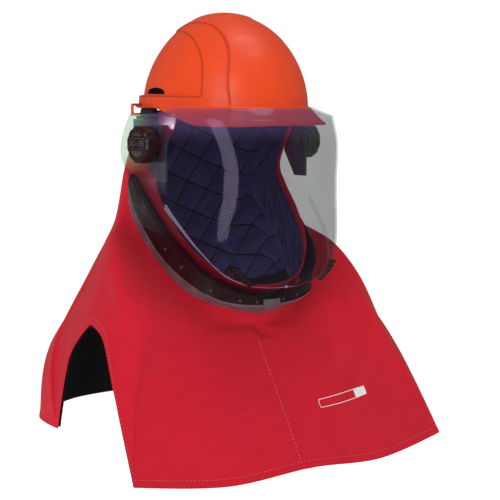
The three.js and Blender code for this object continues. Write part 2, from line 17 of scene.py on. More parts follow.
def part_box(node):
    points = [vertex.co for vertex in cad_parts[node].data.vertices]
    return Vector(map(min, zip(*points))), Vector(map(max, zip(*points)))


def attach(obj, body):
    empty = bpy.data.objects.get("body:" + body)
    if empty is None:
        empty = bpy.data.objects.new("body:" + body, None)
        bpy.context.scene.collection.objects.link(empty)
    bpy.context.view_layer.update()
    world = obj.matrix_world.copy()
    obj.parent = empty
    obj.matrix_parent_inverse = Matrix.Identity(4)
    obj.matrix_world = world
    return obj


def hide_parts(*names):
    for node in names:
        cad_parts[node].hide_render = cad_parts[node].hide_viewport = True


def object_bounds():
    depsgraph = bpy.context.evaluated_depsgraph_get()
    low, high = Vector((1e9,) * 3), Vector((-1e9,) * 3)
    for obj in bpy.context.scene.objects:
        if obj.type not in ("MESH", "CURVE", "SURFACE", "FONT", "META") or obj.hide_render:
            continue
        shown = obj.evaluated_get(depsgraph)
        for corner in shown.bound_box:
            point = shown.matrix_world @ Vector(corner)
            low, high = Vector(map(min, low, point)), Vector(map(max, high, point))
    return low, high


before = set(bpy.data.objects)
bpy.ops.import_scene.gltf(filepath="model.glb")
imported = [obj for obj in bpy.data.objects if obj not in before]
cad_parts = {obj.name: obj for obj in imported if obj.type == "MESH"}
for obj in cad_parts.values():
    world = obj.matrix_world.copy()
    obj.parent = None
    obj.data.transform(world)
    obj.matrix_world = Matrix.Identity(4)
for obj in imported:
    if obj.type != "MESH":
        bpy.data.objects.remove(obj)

CAD_BOX = [list(corner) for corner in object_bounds()]
MM = 0.001


def add_object(name, data):
    """Links a mesh, light or camera to the scene."""
    thing = bpy.data.objects.new(name, data)
    bpy.context.scene.collection.objects.link(thing)
    return thing


print("solids:", len(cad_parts), "box in m:", np.round(CAD_BOX, 3).tolist())

# %% [markdown]
# ## Camera
# The photograph looks down a little from the wearer's front right, through a long lens. A long lens
# from far off keeps the hem's far corner nearly as large as the near one, which a short lens wouldn't.

# %% Set the camera
camera = add_object("camera", bpy.data.cameras.new("camera"))
camera.data.sensor_width = 36
camera.data.lens = 120.9
camera.location = (-1.4306, -1.8644, 0.042)
camera.rotation_euler = [math.radians(angle) for angle in (84.2, 0, -38.35)]
bpy.context.scene.camera = camera
print("camera at", np.round(camera.location, 3))

# %% [markdown]
# ## Curves and sheets
# Formed plastic and draped cloth are both thin sheets, so both are built the same way: a grid of points
# on the outer face, the same grid set in by the wall, and a rim that joins them. A solidify modifier
# would do it too, but here the wall can vary, as a quilted lining needs.

# %% Smooth curve through rows of points
def through(points, share, corners=None, loop=False):
    """Points of a smooth curve at each share from 0 to 1. A corner gets no tangent, so it stays sharp."""
    points = np.asarray(points, float)
    last = len(points) - 1
    place = np.clip(share, 0, 1) * last
    index = np.minimum(np.floor(place).astype(int), last - 1)
    t = (place - index).reshape((-1,) + (1,) * (points.ndim - 1))

    def point(step):
        where = (index + step) % last if loop else np.clip(index + step, 0, last)
        return points[where]

    def slope(step):
        along = (point(step + 1) - point(step - 1)) / 2
        if corners is None:
            return along
        return along * ~np.asarray(corners)[index + step][:, None]

    return (
        point(0) * (2 * t**3 - 3 * t**2 + 1) + point(1) * (3 * t**2 - 2 * t**3)
        + slope(0) * (t**3 - 2 * t**2 + t) + slope(1) * (t**3 - t**2)
    )


def mirrored(points):
    """Rows of one half and their mirror image, as one list from side to side."""
    other = np.array(points)[::-1] * [-1, 1, 1]
    return np.concatenate([points, other[1:]])


def smooth(value, low, high):
    t = np.clip((np.asarray(value, float) - low) / (high - low), 0, 1)
    return t * t * (3 - 2 * t)


def ripple(u, v, size, seed, waves=7, swing=1.6):
    """Soft irregular waves of about one size. They seldom all meet, so swing brings them to -1 and 1."""
    dice = np.random.default_rng(seed)
    total = np.zeros(np.broadcast(u, v).shape)
    for _ in range(waves):
        turn, phase, stretch = dice.uniform(0, math.tau), dice.uniform(0, math.tau), dice.uniform(0.7, 1.4)
        total += np.sin((u * math.cos(turn) + v * math.sin(turn)) * math.tau * stretch / size + phase)
    return total / waves * swing


# %% Grid of points to a walled mesh
def normals_of(points, closed):
    """Unit normals of a grid, facing out, with a plain upward one where a row closes to a point."""
    if closed:
        along = np.roll(points, -1, 1) - np.roll(points, 1, 1)
    else:
        along = np.gradient(points, axis=1)
    normal = np.cross(np.gradient(points, axis=0), along)
    length = np.linalg.norm(normal, axis=2, keepdims=True)
    return np.where(length > 1e-9, normal / np.maximum(length, 1e-9), [0, 0, 1])


def numbered(rows, columns, closed):
    """Numbers for a grid's points. Where it closes on itself, its first column comes again at the end."""
    index = np.arange(rows * columns).reshape(rows, columns)
    return np.hstack([index, index[:, :1]]) if closed else index


def quads(index, flip=False):
    """The four-sided faces between numbered points of a grid."""
    corners = [index[:-1, :-1], index[1:, :-1], index[1:, 1:], index[:-1, 1:]]
    return np.stack(corners[::-1] if flip else corners, -1).reshape(-1, 4)


def mesh_from(name, points, faces):
    """A mesh from points in mm."""
    mesh = bpy.data.meshes.new(name)
    mesh.from_pydata((np.asarray(points).reshape(-1, 3) * MM).tolist(), [], faces)
    return mesh


def wall(name, outer, inner, closed, lay=None):
    """A mesh with an outer and an inner face and a rim between them. lay holds flat places in metres."""
    index = numbered(*outer.shape[:2], closed)
    under = index + outer.size // 3
    faces = [quads(index), quads(under, True)]
    faces += [quads(np.stack([under[0], index[0]])), quads(np.stack([index[-1], under[-1]]))]
    if not closed:
        faces += [quads(np.stack([under[:, 0], index[:, 0]]), True)]
        faces += [quads(np.stack([index[:, -1], under[:, -1]]), True)]
    mesh = mesh_from(name, np.stack([outer, inner]), np.concatenate(faces).tolist())
    if lay is not None:
        flat = np.concatenate([lay.reshape(-1, 2)] * 2)
        loops = np.zeros(len(mesh.loops), int)
        mesh.loops.foreach_get("vertex_index", loops)
        layer = mesh.uv_layers.new(name="Lay")
        layer.data.foreach_set("uv", flat[loops].ravel())
    return placed(name, mesh)


def placed(name, mesh):
    """Links a mesh to the scene, with its doubled corners joined and its faces smooth."""
    work = bmesh.new()
    work.from_mesh(mesh)
    bmesh.ops.remove_doubles(work, verts=work.verts, dist=1e-7)
    bmesh.ops.dissolve_degenerate(work, edges=work.edges, dist=1e-7)
    for face in work.faces:
        face.smooth = True
    work.to_mesh(mesh)
    work.free()
    mesh.validate()
    piece = add_object(name, mesh)
    print(name, "faces:", len(mesh.polygons), "size mm:", [round(side / MM) for side in piece.dimensions])
    return piece


def face_out(mesh):
    """Turns every face of a closed mesh outward."""
    work = bmesh.new()
    work.from_mesh(mesh)
    bmesh.ops.recalc_face_normals(work, faces=work.faces)
    work.to_mesh(mesh)
    work.free()


def finish_piece(piece, body, slot, material, *nodes, angle=35):
    """Sets what a piece rides on, what it replaces and its finish, with edges kept sharp past an angle."""
    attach(piece, body)
    if nodes:
        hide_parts(*nodes)
    piece.data.materials.clear()
    piece.data.materials.append(material)
    piece.data.set_sharp_from_angle(angle=math.radians(angle))
    return piece


# %% [markdown]
# ## Finishes
# Each material starts from what the real one is. One helper adds a node with its settings and links, so
# a finish reads as a short list.

# %% Material helpers
def linear(hex_code):
    """An sRGB hex colour as the linear values that a shader takes."""
    parts = [int(hex_code[place:place + 2], 16) / 255 for place in (1, 3, 5)]
    return (*[part / 12.92 if part <= 0.04045 else ((part + 0.055) / 1.055) ** 2.4 for part in parts], 1)


def new_material(name, **shader):
    material = bpy.data.materials.new(name)
    material.use_nodes = True
    principled = material.node_tree.nodes["Principled BSDF"]
    for socket, value in shader.items():
        principled.inputs[socket.replace("_", " ")].default_value = value
    material.diffuse_color = principled.inputs["Base Color"].default_value
    return material


def fill(tree, socket, value):
    """Gives a socket a number, a colour, another node's output, or a node's first output."""
    if isinstance(value, bpy.types.Node):
        value = value.outputs[0]
    if isinstance(value, bpy.types.NodeSocket):
        tree.links.new(value, socket)
    else:
        socket.default_value = value


def add_node(owner, kind, settings=None, **sockets):
    """Adds a node to a material or world. Sockets are named, or numbered as i0, i1 and so on."""
    node = owner.node_tree.nodes.new(kind)
    for name, value in (settings or {}).items():
        setattr(node, name, value)
    for name, value in sockets.items():
        numbered = name[0] == "i" and name[1:].isdigit()
        fill(owner.node_tree, node.inputs[int(name[1:]) if numbered else name.replace("_", " ")], value)
    return node


def to_shader(material, **sockets):
    """Links nodes or outputs to the material's own shader."""
    shader = material.node_tree.nodes["Principled BSDF"]
    for name, value in sockets.items():
        fill(material.node_tree, shader.inputs[name.replace("_", " ")], value)


def colour_of(material):
    """The output that the shader's colour comes from."""
    return material.node_tree.nodes["Principled BSDF"].inputs["Base Color"].links[0].from_socket


def shades(material, factor, low, high, start=0.0, stop=1.0):
    """Two colours mixed by a pattern. Each is a hex code or an output."""
    ends = [linear(colour) if isinstance(colour, str) else colour for colour in (low, high)]
    ramp = add_node(material, "ShaderNodeMapRange", Value=factor, From_Min=start, From_Max=stop)
    mix = add_node(material, "ShaderNodeMix", {"data_type": "RGBA"}, Factor=ramp, i6=ends[0], i7=ends[1])
    return mix.outputs[2]


# %% Moulded plastics
def moulded(name, base, worn, roughness, grain=0.6, depth=0.03, **more):
    """An injection moulded plastic: even colour, a faint grain and soft scuffs. grain is in mm."""
    material = new_material(name, Base_Color=linear(base), Roughness=roughness, IOR=1.5, **more)
    place = add_node(material, "ShaderNodeTexCoord").outputs["Object"]
    scuffs = add_node(material, "ShaderNodeTexNoise", Vector=place, Scale=38, Detail=5, Roughness=0.6)
    fine = add_node(material, "ShaderNodeTexNoise", Vector=place, Scale=1 / (grain * 2 * MM), Detail=2)
    rough = add_node(
        material, "ShaderNodeMapRange", Value=scuffs, From_Min=0.35, From_Max=0.75,
        To_Min=roughness * 0.8, To_Max=min(roughness * 1.5, 1))
    bump = add_node(material, "ShaderNodeBump", Height=fine, Strength=depth, Distance=0.0004)
    colour = shades(material, scuffs, base, worn, 0.42, 0.75)
    to_shader(material, Base_Color=colour, Roughness=rough, Normal=bump)
    return material


# Hat shell: glossy orange polyethylene, which shows broad soft highlights and hardly any grain
hat_orange = moulded(
    "moulded_orange_polyethylene", "#e94716", "#e2401a", 0.36, 0.9, 0.02, Specular_IOR_Level=0.35)
# The shell's inside is painted dark brown, painted shade for the little light that reaches it
hat_inside_shade = moulded("painted_shade_inside_of_shell", "#3a1410", "#2c0f0d", 0.6)
# Guard, knobs and grips: dark nylon with a satin shine. The smoother lip is painted lighter, a painted
# highlight
guard_maroon = moulded(
    "moulded_maroon_nylon", "#1f0b0f", "#2a1317", 0.3, 0.7, 0.05, Specular_IOR_Level=0.3)
guard_lip_highlight = moulded("painted_highlight_maroon_lip", "#5a444c", "#6f5a64", 0.24, 0.7, 0.01)
knob_maroon = moulded(
    "moulded_maroon_knob_nylon", "#200d0f", "#2d1518", 0.26, 0.7, 0.04, Specular_IOR_Level=0.35)
grip_maroon = moulded(
    "moulded_maroon_grip", "#1d0b0e", "#2a1317", 0.32, 0.7, 0.04, Specular_IOR_Level=0.3)
# Brackets, plugs and latch: filled nylon with a dull, slightly rough skin
bracket_grey = moulded("moulded_grey_nylon", "#544b5b", "#665c6c", 0.42, 0.6, 0.05)
adapter_black = moulded("moulded_black_nylon", "#19171a", "#262327", 0.45, 0.6, 0.05)
latch_grey = moulded("moulded_grey_latch", "#574a4e", "#6a5c5f", 0.42, 0.6, 0.05)
# Rivets: steel with a black skin that has rubbed off in places
rivet_dark = moulded("blackened_steel_rivet", "#4a3034", "#6d5558", 0.25, 0.5, 0.04, Metallic=0.4)
print("plastics:", len(bpy.data.materials))

# %% Turned steel and the window's clear plastic
# Pins: turned steel, whose fine lathe marks break up the shine
steel = new_material("turned_steel", Base_Color=linear("#a9abad"), Metallic=1.0, Roughness=0.3)
place = add_node(steel, "ShaderNodeTexCoord").outputs["Object"]
lathe = add_node(steel, "ShaderNodeTexNoise", Vector=place, Scale=900, Detail=3)
to_shader(steel, Roughness=add_node(steel, "ShaderNodeMapRange", Value=lathe, To_Min=0.22, To_Max=0.42))

# Window: extruded clear sheet with an arc absorbing tint, thermoformed. The sheet takes away about half of
# the light. It has two faces, so the alpha of each is about a quarter. Its hard coat mirrors a little
# violet, and a paler violet is also painted towards the top as a painted reflection. A painted green, the
# light seen through the tint, marks the sides' rear edges, where the sheet is seen against the light
window_clear = new_material(
    "tinted_clear_sheet", Base_Color=linear("#140f1c"), Roughness=0.05, IOR=1.58, Alpha=0.27,
    Specular_Tint=(0.8, 0.68, 1, 1))
place = add_node(window_clear, "ShaderNodeTexCoord").outputs["Object"]
across, back, up = add_node(window_clear, "ShaderNodeSeparateXYZ", Vector=place).outputs
rear, high, far = (
    add_node(window_clear, "ShaderNodeMapRange", Value=value, From_Min=start, From_Max=stop)
    for value, start, stop in ((back, -0.005, 0.045), (up, -0.085, -0.06), (across, 0.119, 0.126)))
# Painted light: green where light shows through the sides' rear edges
rear_edge = add_node(window_clear, "ShaderNodeMath", {"operation": "MULTIPLY"}, i0=rear, i1=high)
backlit_green = add_node(window_clear, "ShaderNodeMath", {"operation": "MAXIMUM"}, i0=rear_edge, i1=far)
# Painted reflection: the base turns a paler violet towards the top
violet_reflection = shades(window_clear, up, "#140f1c", "#5b4c78", -0.04, -0.01)
smear = add_node(window_clear, "ShaderNodeTexNoise", Vector=place, Scale=14, Detail=6)
smeared = add_node(
    window_clear, "ShaderNodeMapRange", Value=smear, From_Min=0.4, From_Max=0.8, To_Min=0.04, To_Max=0.14)
to_shader(window_clear, Base_Color=shades(window_clear, backlit_green, violet_reflection, "#74b881"), Roughness=smeared)
# A tight bend gathers the light that runs inside the sheet, and its pale line is a painted highlight
bend_highlight = new_material(
    "painted_bend_highlight", Base_Color=linear("#a79fc0"), Roughness=0.12, IOR=1.58, Alpha=0.42)

# %% Woven cloths
WAVE_RADIANS = 20  # what a wave texture of scale 1 turns through in a metre


def woven(name, base, shade, thread, roughness=0.85, depth=0.35, **more):
    """A twill: diagonal ribs one thread apart, in flat cloth coordinates. thread is in mm. A real thread
    of 0.4 mm is too fine to show at this size, so it is drawn coarser. Loose fibres scatter light, so a
    cloth has less of the mirror shine that its index of refraction alone would give."""
    material = new_material(
        name, Base_Color=linear(base), Roughness=roughness, IOR=1.45, Specular_IOR_Level=0.2, **more)
    flat = add_node(material, "ShaderNodeUVMap", {"uv_map": "Lay"})
    turned = add_node(material, "ShaderNodeMapping", Vector=flat, Rotation=(0, 0, math.radians(63)))
    rib = add_node(
        material, "ShaderNodeTexWave", {"wave_profile": "SIN"}, Vector=turned,
        Scale=math.tau / (thread * MM) / WAVE_RADIANS, Distortion=1.2, Detail=2, Detail_Scale=3)
    cloudy = add_node(material, "ShaderNodeTexNoise", Vector=flat, Scale=26, Detail=6, Roughness=0.65)
    fuzz = add_node(material, "ShaderNodeTexNoise", Vector=flat, Scale=1 / (2 * thread * MM), Detail=3)
    height = add_node(material, "ShaderNodeMath", {"operation": "ADD"}, i0=rib, i1=fuzz)
    bump = add_node(material, "ShaderNodeBump", Height=height, Strength=depth, Distance=0.0004)
    to_shader(material, Base_Color=shades(material, cloudy, shade, base, 0.3, 0.6), Normal=bump)
    return material


# Outer cloth: red aramid and cotton twill. The sheen is the fuzz that catches light at the edges
red_twill = woven("red_aramid_twill", "#c8172b", "#bf1528", 1.4, Sheen_Weight=0.04, Sheen_Roughness=0.5)
# Linings: cotton, soft and matt. The navy one takes its quilting and creases below
navy_quilt = woven("navy_quilted_cotton", "#35336a", "#24224a", 1.2, 0.8, 0.06, Sheen_Weight=0.1)
black_cloth = woven("black_lining_cotton", "#100e0e", "#0b0a0a", 1.2, 0.9, 0.3)
# Thread is painted paler than the cloth, a painted sheen for its slight shine, and the print is a matt film
# on the weave
thread_pink = woven("sheen_painted_red_thread", "#dd6a74", "#cf5561", 0.6, 0.7, 0.2)
print_white = woven("white_heat_print", "#f1eeee", "#e6e2e3", 1.4, 0.6, 0.25)

# The quilting thread pulls the cloth in, and a dark line of painted shade runs along each side of a slanted
# 37 mm square
QUILT, SLANT = 37, math.radians(25)
flat = add_node(navy_quilt, "ShaderNodeUVMap", {"uv_map": "Lay"})
turned = add_node(navy_quilt, "ShaderNodeMapping", Rotation=(0, 0, SLANT), Vector=flat)
sides = add_node(navy_quilt, "ShaderNodeSeparateXYZ", Vector=turned).outputs[:2]
lines = [
    add_node(navy_quilt, "ShaderNodeMath", {"operation": "PINGPONG"}, i0=side, i1=QUILT * MM / 2)
    for side in sides]
nearest = add_node(navy_quilt, "ShaderNodeMath", {"operation": "MINIMUM"}, i0=lines[0], i1=lines[1])
pulled = add_node(navy_quilt, "ShaderNodeMapRange", Value=nearest, From_Min=0.5 * MM, From_Max=2.1 * MM)
creases = add_node(
    navy_quilt, "ShaderNodeTexNoise", {"noise_type": "RIDGED_MULTIFRACTAL"}, Vector=flat, Scale=38,
    Detail=2, Distortion=0.8)
puffed = add_node(navy_quilt, "ShaderNodeBump", Height=pulled, Strength=0.7, Distance=0.003)
creased = add_node(
    navy_quilt, "ShaderNodeBump", Height=creases, Strength=0.45, Distance=0.002, Normal=puffed)
quilt_groove_shade = shades(navy_quilt, pulled, "#0a0a16", colour_of(navy_quilt))
to_shader(navy_quilt, Base_Color=quilt_groove_shade, Normal=creased)
print("materials:", len(bpy.data.materials))

# %% [markdown]
# ## Hard hat
# A hard hat's shell is one moulding with a ridge over the crown, a shallow panel in each side, a belt
# that steps out above the rim, a vent in each side and a small ear for clips. The dome is a grid of
# rings from the crown down. Relief is added by moving points along the normal where a shape says so,
# which keeps the dome smooth between. The vents are cut right through.

# %% Hat sizes
HAT = dict(
    half_width=107, half_length=129, crown=131, wall=2.6, rim=6, back=3, belt_step=4, peak_reach=142,
    peak_half_width=110, peak_drop=18, peak_corner=3.3, brim=2, ridge_height=2, ridge_top=46,
    ridge_foot=67, ridge_turn=1.5, rib_height=1.3, rib=(22, 26), rib_front=(30, 37))
# The shallow panel in each side: its middle along the hat, its reach forward and back from there, its foot
# and height, how boxy its outline is and how deep it lies
PANEL = dict(middle=-40, front=107, rear=66, foot=19, high=90, boxy=2.3, depth=2.2)
VENT = dict(middle=26, half_length=26, foot=22, height=9)
EAR = dict(near=98, far=118, low=-7, high=9, wall=3, front=56, back=60)
RIM_LINE = 0.045


def power(value, exponent):
    return np.sign(value) * np.abs(value) ** exponent


def hat_rows(fine):
    """Rows of the dome as up, belt and peak shares, closer together where the wall turns."""
    rows = [(math.cos(angle), 0, 0) for angle in np.linspace(0, math.acos(0.165), fine)]
    rows += [(0.158, 0.1, 0), (0.154, 0.5, 0), (0.151, 0.9, 0), (0.147, 1, 0)]
    rows += [(up, 1, 0) for up in np.linspace(0.135, 0.05, 7)]
    rows += [(RIM_LINE, 1, peak) for peak in np.linspace(0, 0.5, 8)]
    rows += [(RIM_LINE * (1 - peak), 1, 0.5 + peak / 2) for peak in np.linspace(0.08, 1, 10)]
    return np.array(rows)


def hat_grid(rows, columns):
    """The shell's outer face: rings from the crown to the peak."""
    angle = np.arange(columns) / columns * math.tau
    across, forward = np.sin(angle)[None], np.cos(angle)[None]
    up, belt, peak = (rows[:, [k]] for k in range(3))
    out = np.sqrt(1 - up**2)
    side = 1 - smooth(forward, -0.1, 0.35)
    step = HAT["belt_step"] * belt * side
    x = (HAT["half_width"] * out + step) * across
    f = (HAT["half_length"] * out + step) * forward
    z = HAT["crown"] * up + 0 * across
    ridge = HAT["ridge_foot"] + (HAT["ridge_top"] - HAT["ridge_foot"]) * smooth(up, 0.2, 0.9)
    ridge_edge = ridge - HAT["ridge_turn"], ridge + HAT["ridge_turn"]
    lift = HAT["ridge_height"] * (1 - belt * side) * (1 - smooth(np.abs(x), *ridge_edge))
    rib = (1 - smooth(np.abs(x), *HAT["rib"])) * (1 - smooth(f, *HAT["rib_front"])) * smooth(up, 0.3, 0.6)
    lift = lift + HAT["rib_height"] * rib
    from_middle, foot = f - PANEL["middle"], PANEL["foot"]
    along = np.abs(from_middle) / np.where(from_middle > 0, PANEL["front"], PANEL["rear"])
    panel = along ** PANEL["boxy"] + (np.maximum(z - foot, 0) / PANEL["high"]) ** PANEL["boxy"]
    sunk = (1 - smooth(panel, 0.95, 1.02)) * smooth(z, foot, foot + 2)
    lift = lift - PANEL["depth"] * sunk * (1 - belt)
    turn = np.stack([across * out, forward * out, up + 0 * across], -1)
    turn /= np.linalg.norm(turn, axis=2, keepdims=True)
    x, f, z = x + lift * turn[..., 0], f + lift * turn[..., 1], z + lift * turn[..., 2]
    flare = smooth(forward, -0.05, 0.35)
    edge_x = x + HAT["brim"] * across
    edge_x = edge_x + (HAT["peak_half_width"] * power(across, 2 / HAT["peak_corner"]) - edge_x) * flare
    edge_f = f + HAT["brim"] * forward
    edge_f = edge_f + (HAT["peak_reach"] * power(forward, 2 / HAT["peak_corner"]) - edge_f) * flare
    edge_z = HAT["rim"] + (-HAT["peak_drop"] - HAT["rim"]) * flare
    x, f, z = x + (edge_x - x) * peak, f + (edge_f - f) * peak, z + (edge_z - z) * peak
    return np.stack([x, -(f - HAT["back"]), z], -1)


# %% Cutting tools for holes
def prism(name, outline, low, high, axis):
    """A straight block on an outline, for a boolean cut. axis 0 runs across and 1 runs back."""
    outline = np.asarray(outline, float)
    rings = [np.insert(outline, axis, level, axis=1) for level in (low, high)]
    count = len(outline)
    faces = [list(range(count))[::-1], list(range(count, 2 * count))]
    faces += [[k, (k + 1) % count, count + (k + 1) % count, count + k] for k in range(count)]
    mesh = mesh_from(name, np.stack(rings), faces)
    face_out(mesh)
    return add_object(name, mesh)


def with_modifiers(piece):
    """The mesh that a piece has once its modifiers are applied."""
    return bpy.data.meshes.new_from_object(piece.evaluated_get(bpy.context.evaluated_depsgraph_get()))


def cut_with(piece, tools):
    """Cuts each tool's shape out of a piece and removes the tools."""
    for tool in tools:
        modifier = piece.modifiers.new("cut", "BOOLEAN")
        modifier.operation, modifier.object, modifier.solver = "DIFFERENCE", tool, "EXACT"
    result = with_modifiers(piece)
    piece.modifiers.clear()
    piece.data = result
    for tool in tools:
        bpy.data.objects.remove(tool)


# %% Build the hat
def clip_ear(side):
    """The ear beside the rim: a flat block with a slot, its corners rounded."""
    def block(name, inset, front, back):
        near, far = side * (EAR["near"] + inset), side * (EAR["far"] - inset)
        low, high = EAR["low"] + inset, EAR["high"] - inset
        return prism(name, [(near, low), (far, low), (far, high), (near, high)], front, back, 1)

    ear = block("clip_ear", 0, EAR["front"], EAR["back"])
    cut_with(ear, [block("slot", EAR["wall"], EAR["front"] - 6, EAR["back"] + 10)])
    bevel = ear.modifiers.new("soft edge", "BEVEL")
    bevel.width, bevel.segments, bevel.limit_method = 1.1 * MM, 3, "ANGLE"
    mesh = with_modifiers(ear)
    bpy.data.objects.remove(ear)
    return mesh


shell_outer = hat_grid(hat_rows(84), 320)
shell = wall("hat", shell_outer, shell_outer - HAT["wall"] * normals_of(shell_outer, True), True)
turn = np.linspace(0, math.pi, 24)
moon_back = VENT["middle"] + VENT["half_length"] * np.cos(turn)
moon = np.stack([moon_back, VENT["foot"] + VENT["height"] * np.sin(turn) ** 0.8], -1)
cut_with(shell, [prism("vent", moon, *sorted((side * 60, side * 120)), 0) for side in (-1, 1)])
work = bmesh.new()
work.from_mesh(shell.data)
for side in (-1, 1):
    work.from_mesh(clip_ear(side))
work.to_mesh(shell.data)
work.free()
shell.data.shade_smooth()
finish_piece(shell, "hood", "hat_plastic", hat_orange, "hat_shell", angle=50)
shell.data.materials.append(hat_inside_shade)
# Inside faces above the rim get the dark painted shade
for face in shell.data.polygons:
    face.material_index = int(face.center.dot(face.normal) < 0 and face.center.z > 4 * MM)
print("hat faces:", len(shell.data.polygons))

# %% Paint shade along the hat's grooves
# Each row: a name, an operation and its two inputs, each a number in metres or the name of another row
LINE_STEPS = [
    ("from_middle", "SUBTRACT", "back", (HAT["back"] - PANEL["middle"]) * MM),
    ("is_rear", "GREATER_THAN", "from_middle", 0),
    ("shorter", "MULTIPLY", "is_rear", (PANEL["rear"] - PANEL["front"]) * MM),
    ("reach", "ADD", "shorter", PANEL["front"] * MM),
    ("distance", "ABSOLUTE", "from_middle", 0),
    ("share_along", "DIVIDE", "distance", "reach"),
    ("along", "POWER", "share_along", PANEL["boxy"]),
    ("over", "SUBTRACT", "up", PANEL["foot"] * MM),
    ("over_foot", "MAXIMUM", "over", 0),
    ("share_up", "DIVIDE", "over_foot", PANEL["high"] * MM),
    ("high", "POWER", "share_up", PANEL["boxy"]),
    ("sum", "ADD", "along", "high"),
    ("past", "SUBTRACT", "sum", 1),
    ("off_edge", "ABSOLUTE", "past", 0),
    ("edge", "MULTIPLY", "off_edge", 0.04),
    ("off_foot", "ABSOLUTE", "over", 0),
    ("past_end", "GREATER_THAN", "along", 1),
    ("foot", "ADD", "off_foot", "past_end"),
    ("is_below", "LESS_THAN", "up", 0.0185),
    ("edge_above", "ADD", "edge", "is_below"),
    ("panel", "MINIMUM", "edge_above", "foot"),
    ("off_middle", "ABSOLUTE", "across", 0),
    ("beside", "SUBTRACT", "off_middle", "ridge"),
    ("off_ridge", "ABSOLUTE", "beside", 0),
    ("is_low", "LESS_THAN", "up", 0.008),
    ("ridge_above", "ADD", "off_ridge", "is_low"),
    ("ridge_thin", "ADD", "ridge_above", 0.0004),
    ("line", "MINIMUM", "panel", "ridge_thin"),
]
place = add_node(hat_orange, "ShaderNodeTexCoord").outputs["Object"]
axes = add_node(hat_orange, "ShaderNodeSeparateXYZ", Vector=place).outputs
known = dict(zip(("across", "back", "up"), axes))
known["ridge"] = add_node(
    hat_orange, "ShaderNodeMapRange", {"interpolation_type": "SMOOTHSTEP"}, Value=known["up"],
    From_Min=0.026, From_Max=0.118, To_Min=HAT["ridge_foot"] * MM, To_Max=HAT["ridge_top"] * MM)
for name, operation, first, second in LINE_STEPS:
    known[name] = add_node(
        hat_orange, "ShaderNodeMath", {"operation": operation}, i0=known.get(first, first),
        i1=known.get(second, second))
# Painted shade: the orange turns to #b93312 along the side panel's edge and beside the ridge's edges
hat_groove_shade = shades(hat_orange, known["line"], "#b93312", colour_of(hat_orange), 0.0004, 0.0017)
to_shader(hat_orange, Base_Color=hat_groove_shade)

# %% [markdown]
# ## Window
# The window is one clear sheet bent round the face: a curved front and chin, a flat side on each side
# of a bend, and a flange along the top that turns in to the hat. The rows follow the bend from the top
# corner down to the chin, so the bend stays a clean line. The pins pass through a hole in each side.

# %% Window sizes and sections
WINDOW = dict(half_width=127, reach=167, drop=236, wall=2.5, flange_rise=4, flange_gap=6.8, side_share=0.1)
PIVOT = dict(forward=4, drop=45, radius=5)
GAP = dict(slide=0.6, fold=1.7, lining=0.8)
# Each row: bend, edge, lip and foot as across, forward and up, then the front's middle and how boxy
SIDE_ROWS = [
    ((1, 0.335, -0.017), (1.016, -0.281, -0.025), (1.016, -0.281, -0.025), (1.016, -0.281, -0.025),
     (0.898, -0.055), 2),
    ((1, 0.24, -0.14), (1.016, -0.377, -0.136), (1.016, -0.377, -0.136), (1.016, -0.377, -0.136),
     (0.964, -0.161), 2.3),
    ((1, 0.144, -0.25), (1.016, -0.413, -0.246), (1.016, -0.413, -0.246), (1.016, -0.413, -0.246),
     (0.994, -0.267), 2.4),
    ((1, 0.09, -0.369), (1.014, -0.335, -0.352), (1.01, -0.365, -0.394), (1, -0.377, -0.407),
     (1, -0.373), 2.4),
    ((1, 0.12, -0.504), (1.008, -0.186, -0.466), (1.022, -0.275, -0.545), (1.016, -0.325, -0.563),
     (0.988, -0.504), 2.4),
    ((0.99, 0.216, -0.576), (1, -0.024, -0.576), (1.018, -0.138, -0.672), (1.008, -0.216, -0.693),
     (0.97, -0.576), 2.4),
    ((0.968, 0.317, -0.64), (0.98, 0.162, -0.703), (1, 0.036, -0.8), (0.984, -0.044, -0.822),
     (0.95, -0.64), 2.4),
    ((0.918, 0.461, -0.737), (0.929, 0.329, -0.805), (0.95, 0.216, -0.907), (0.921, 0.126, -0.945),
     (0.922, -0.737), 2.4),
    ((0.845, 0.569, -0.818), (0.843, 0.443, -0.894), (0.843, 0.389, -0.998), (0.811, 0.293, -1.045),
     (0.892, -0.818), 2.4),
    ((0.724, 0.659, -0.902), (0.677, 0.545, -0.97), (0.685, 0.53, -1.072), (0.638, 0.419, -1.11),
     (0.862, -0.902), 2.4),
    ((0.504, 0.737, -0.968), (0.457, 0.599, -1.03), (0.457, 0.6, -1.11), (0.425, 0.479, -1.148),
     (0.836, -0.97), 2.4),
    ((0.252, 0.784, -0.994), (0.236, 0.623, -1.059), (0.236, 0.629, -1.123), (0.213, 0.515, -1.174),
     (0.82, -0.995), 2.4),
    ((0, 0.808, -1), (0, 0.635, -1.068), (0, 0.641, -1.127), (0, 0.539, -1.182), (0.808, -1), 2.4),
]
window_sizes = np.array([WINDOW["half_width"], -WINDOW["reach"], WINDOW["drop"]])
BANDS = [mirrored(np.array([row[band] for row in SIDE_ROWS]) * window_sizes) for band in range(4)]
MIDDLES = mirrored(np.array(
    [(row[5], -row[4][0] * WINDOW["reach"], row[4][1] * WINDOW["drop"]) for row in SIDE_ROWS]))


def side_points(side, down, out):
    """Points beside the front: out is 0 at the bend, 1 at the clear edge, 2 at the fold, 3 at the foot."""
    band = min(int(out), 2)
    near, far = through(BANDS[band], down / 2), through(BANDS[band + 1], down / 2)
    return (near + (far - near) * (out - band)) * [side, 1, 1]


def front_points(across, down):
    """Points of the front panel: across runs from -1 to 1 between its bends."""
    bend, middle = through(BANDS[0], down / 2), through(MIDDLES, down / 2)
    square = np.maximum(np.abs(middle[:, 0]), 2)
    angle = across * math.pi / 2
    bulge = (np.abs(np.cos(angle)) ** (2 / square))[:, None]
    points = bend + (middle - bend) * bulge
    points[:, 0] = bend[:, 0] * power(np.sin(angle), 2 / square)
    return points


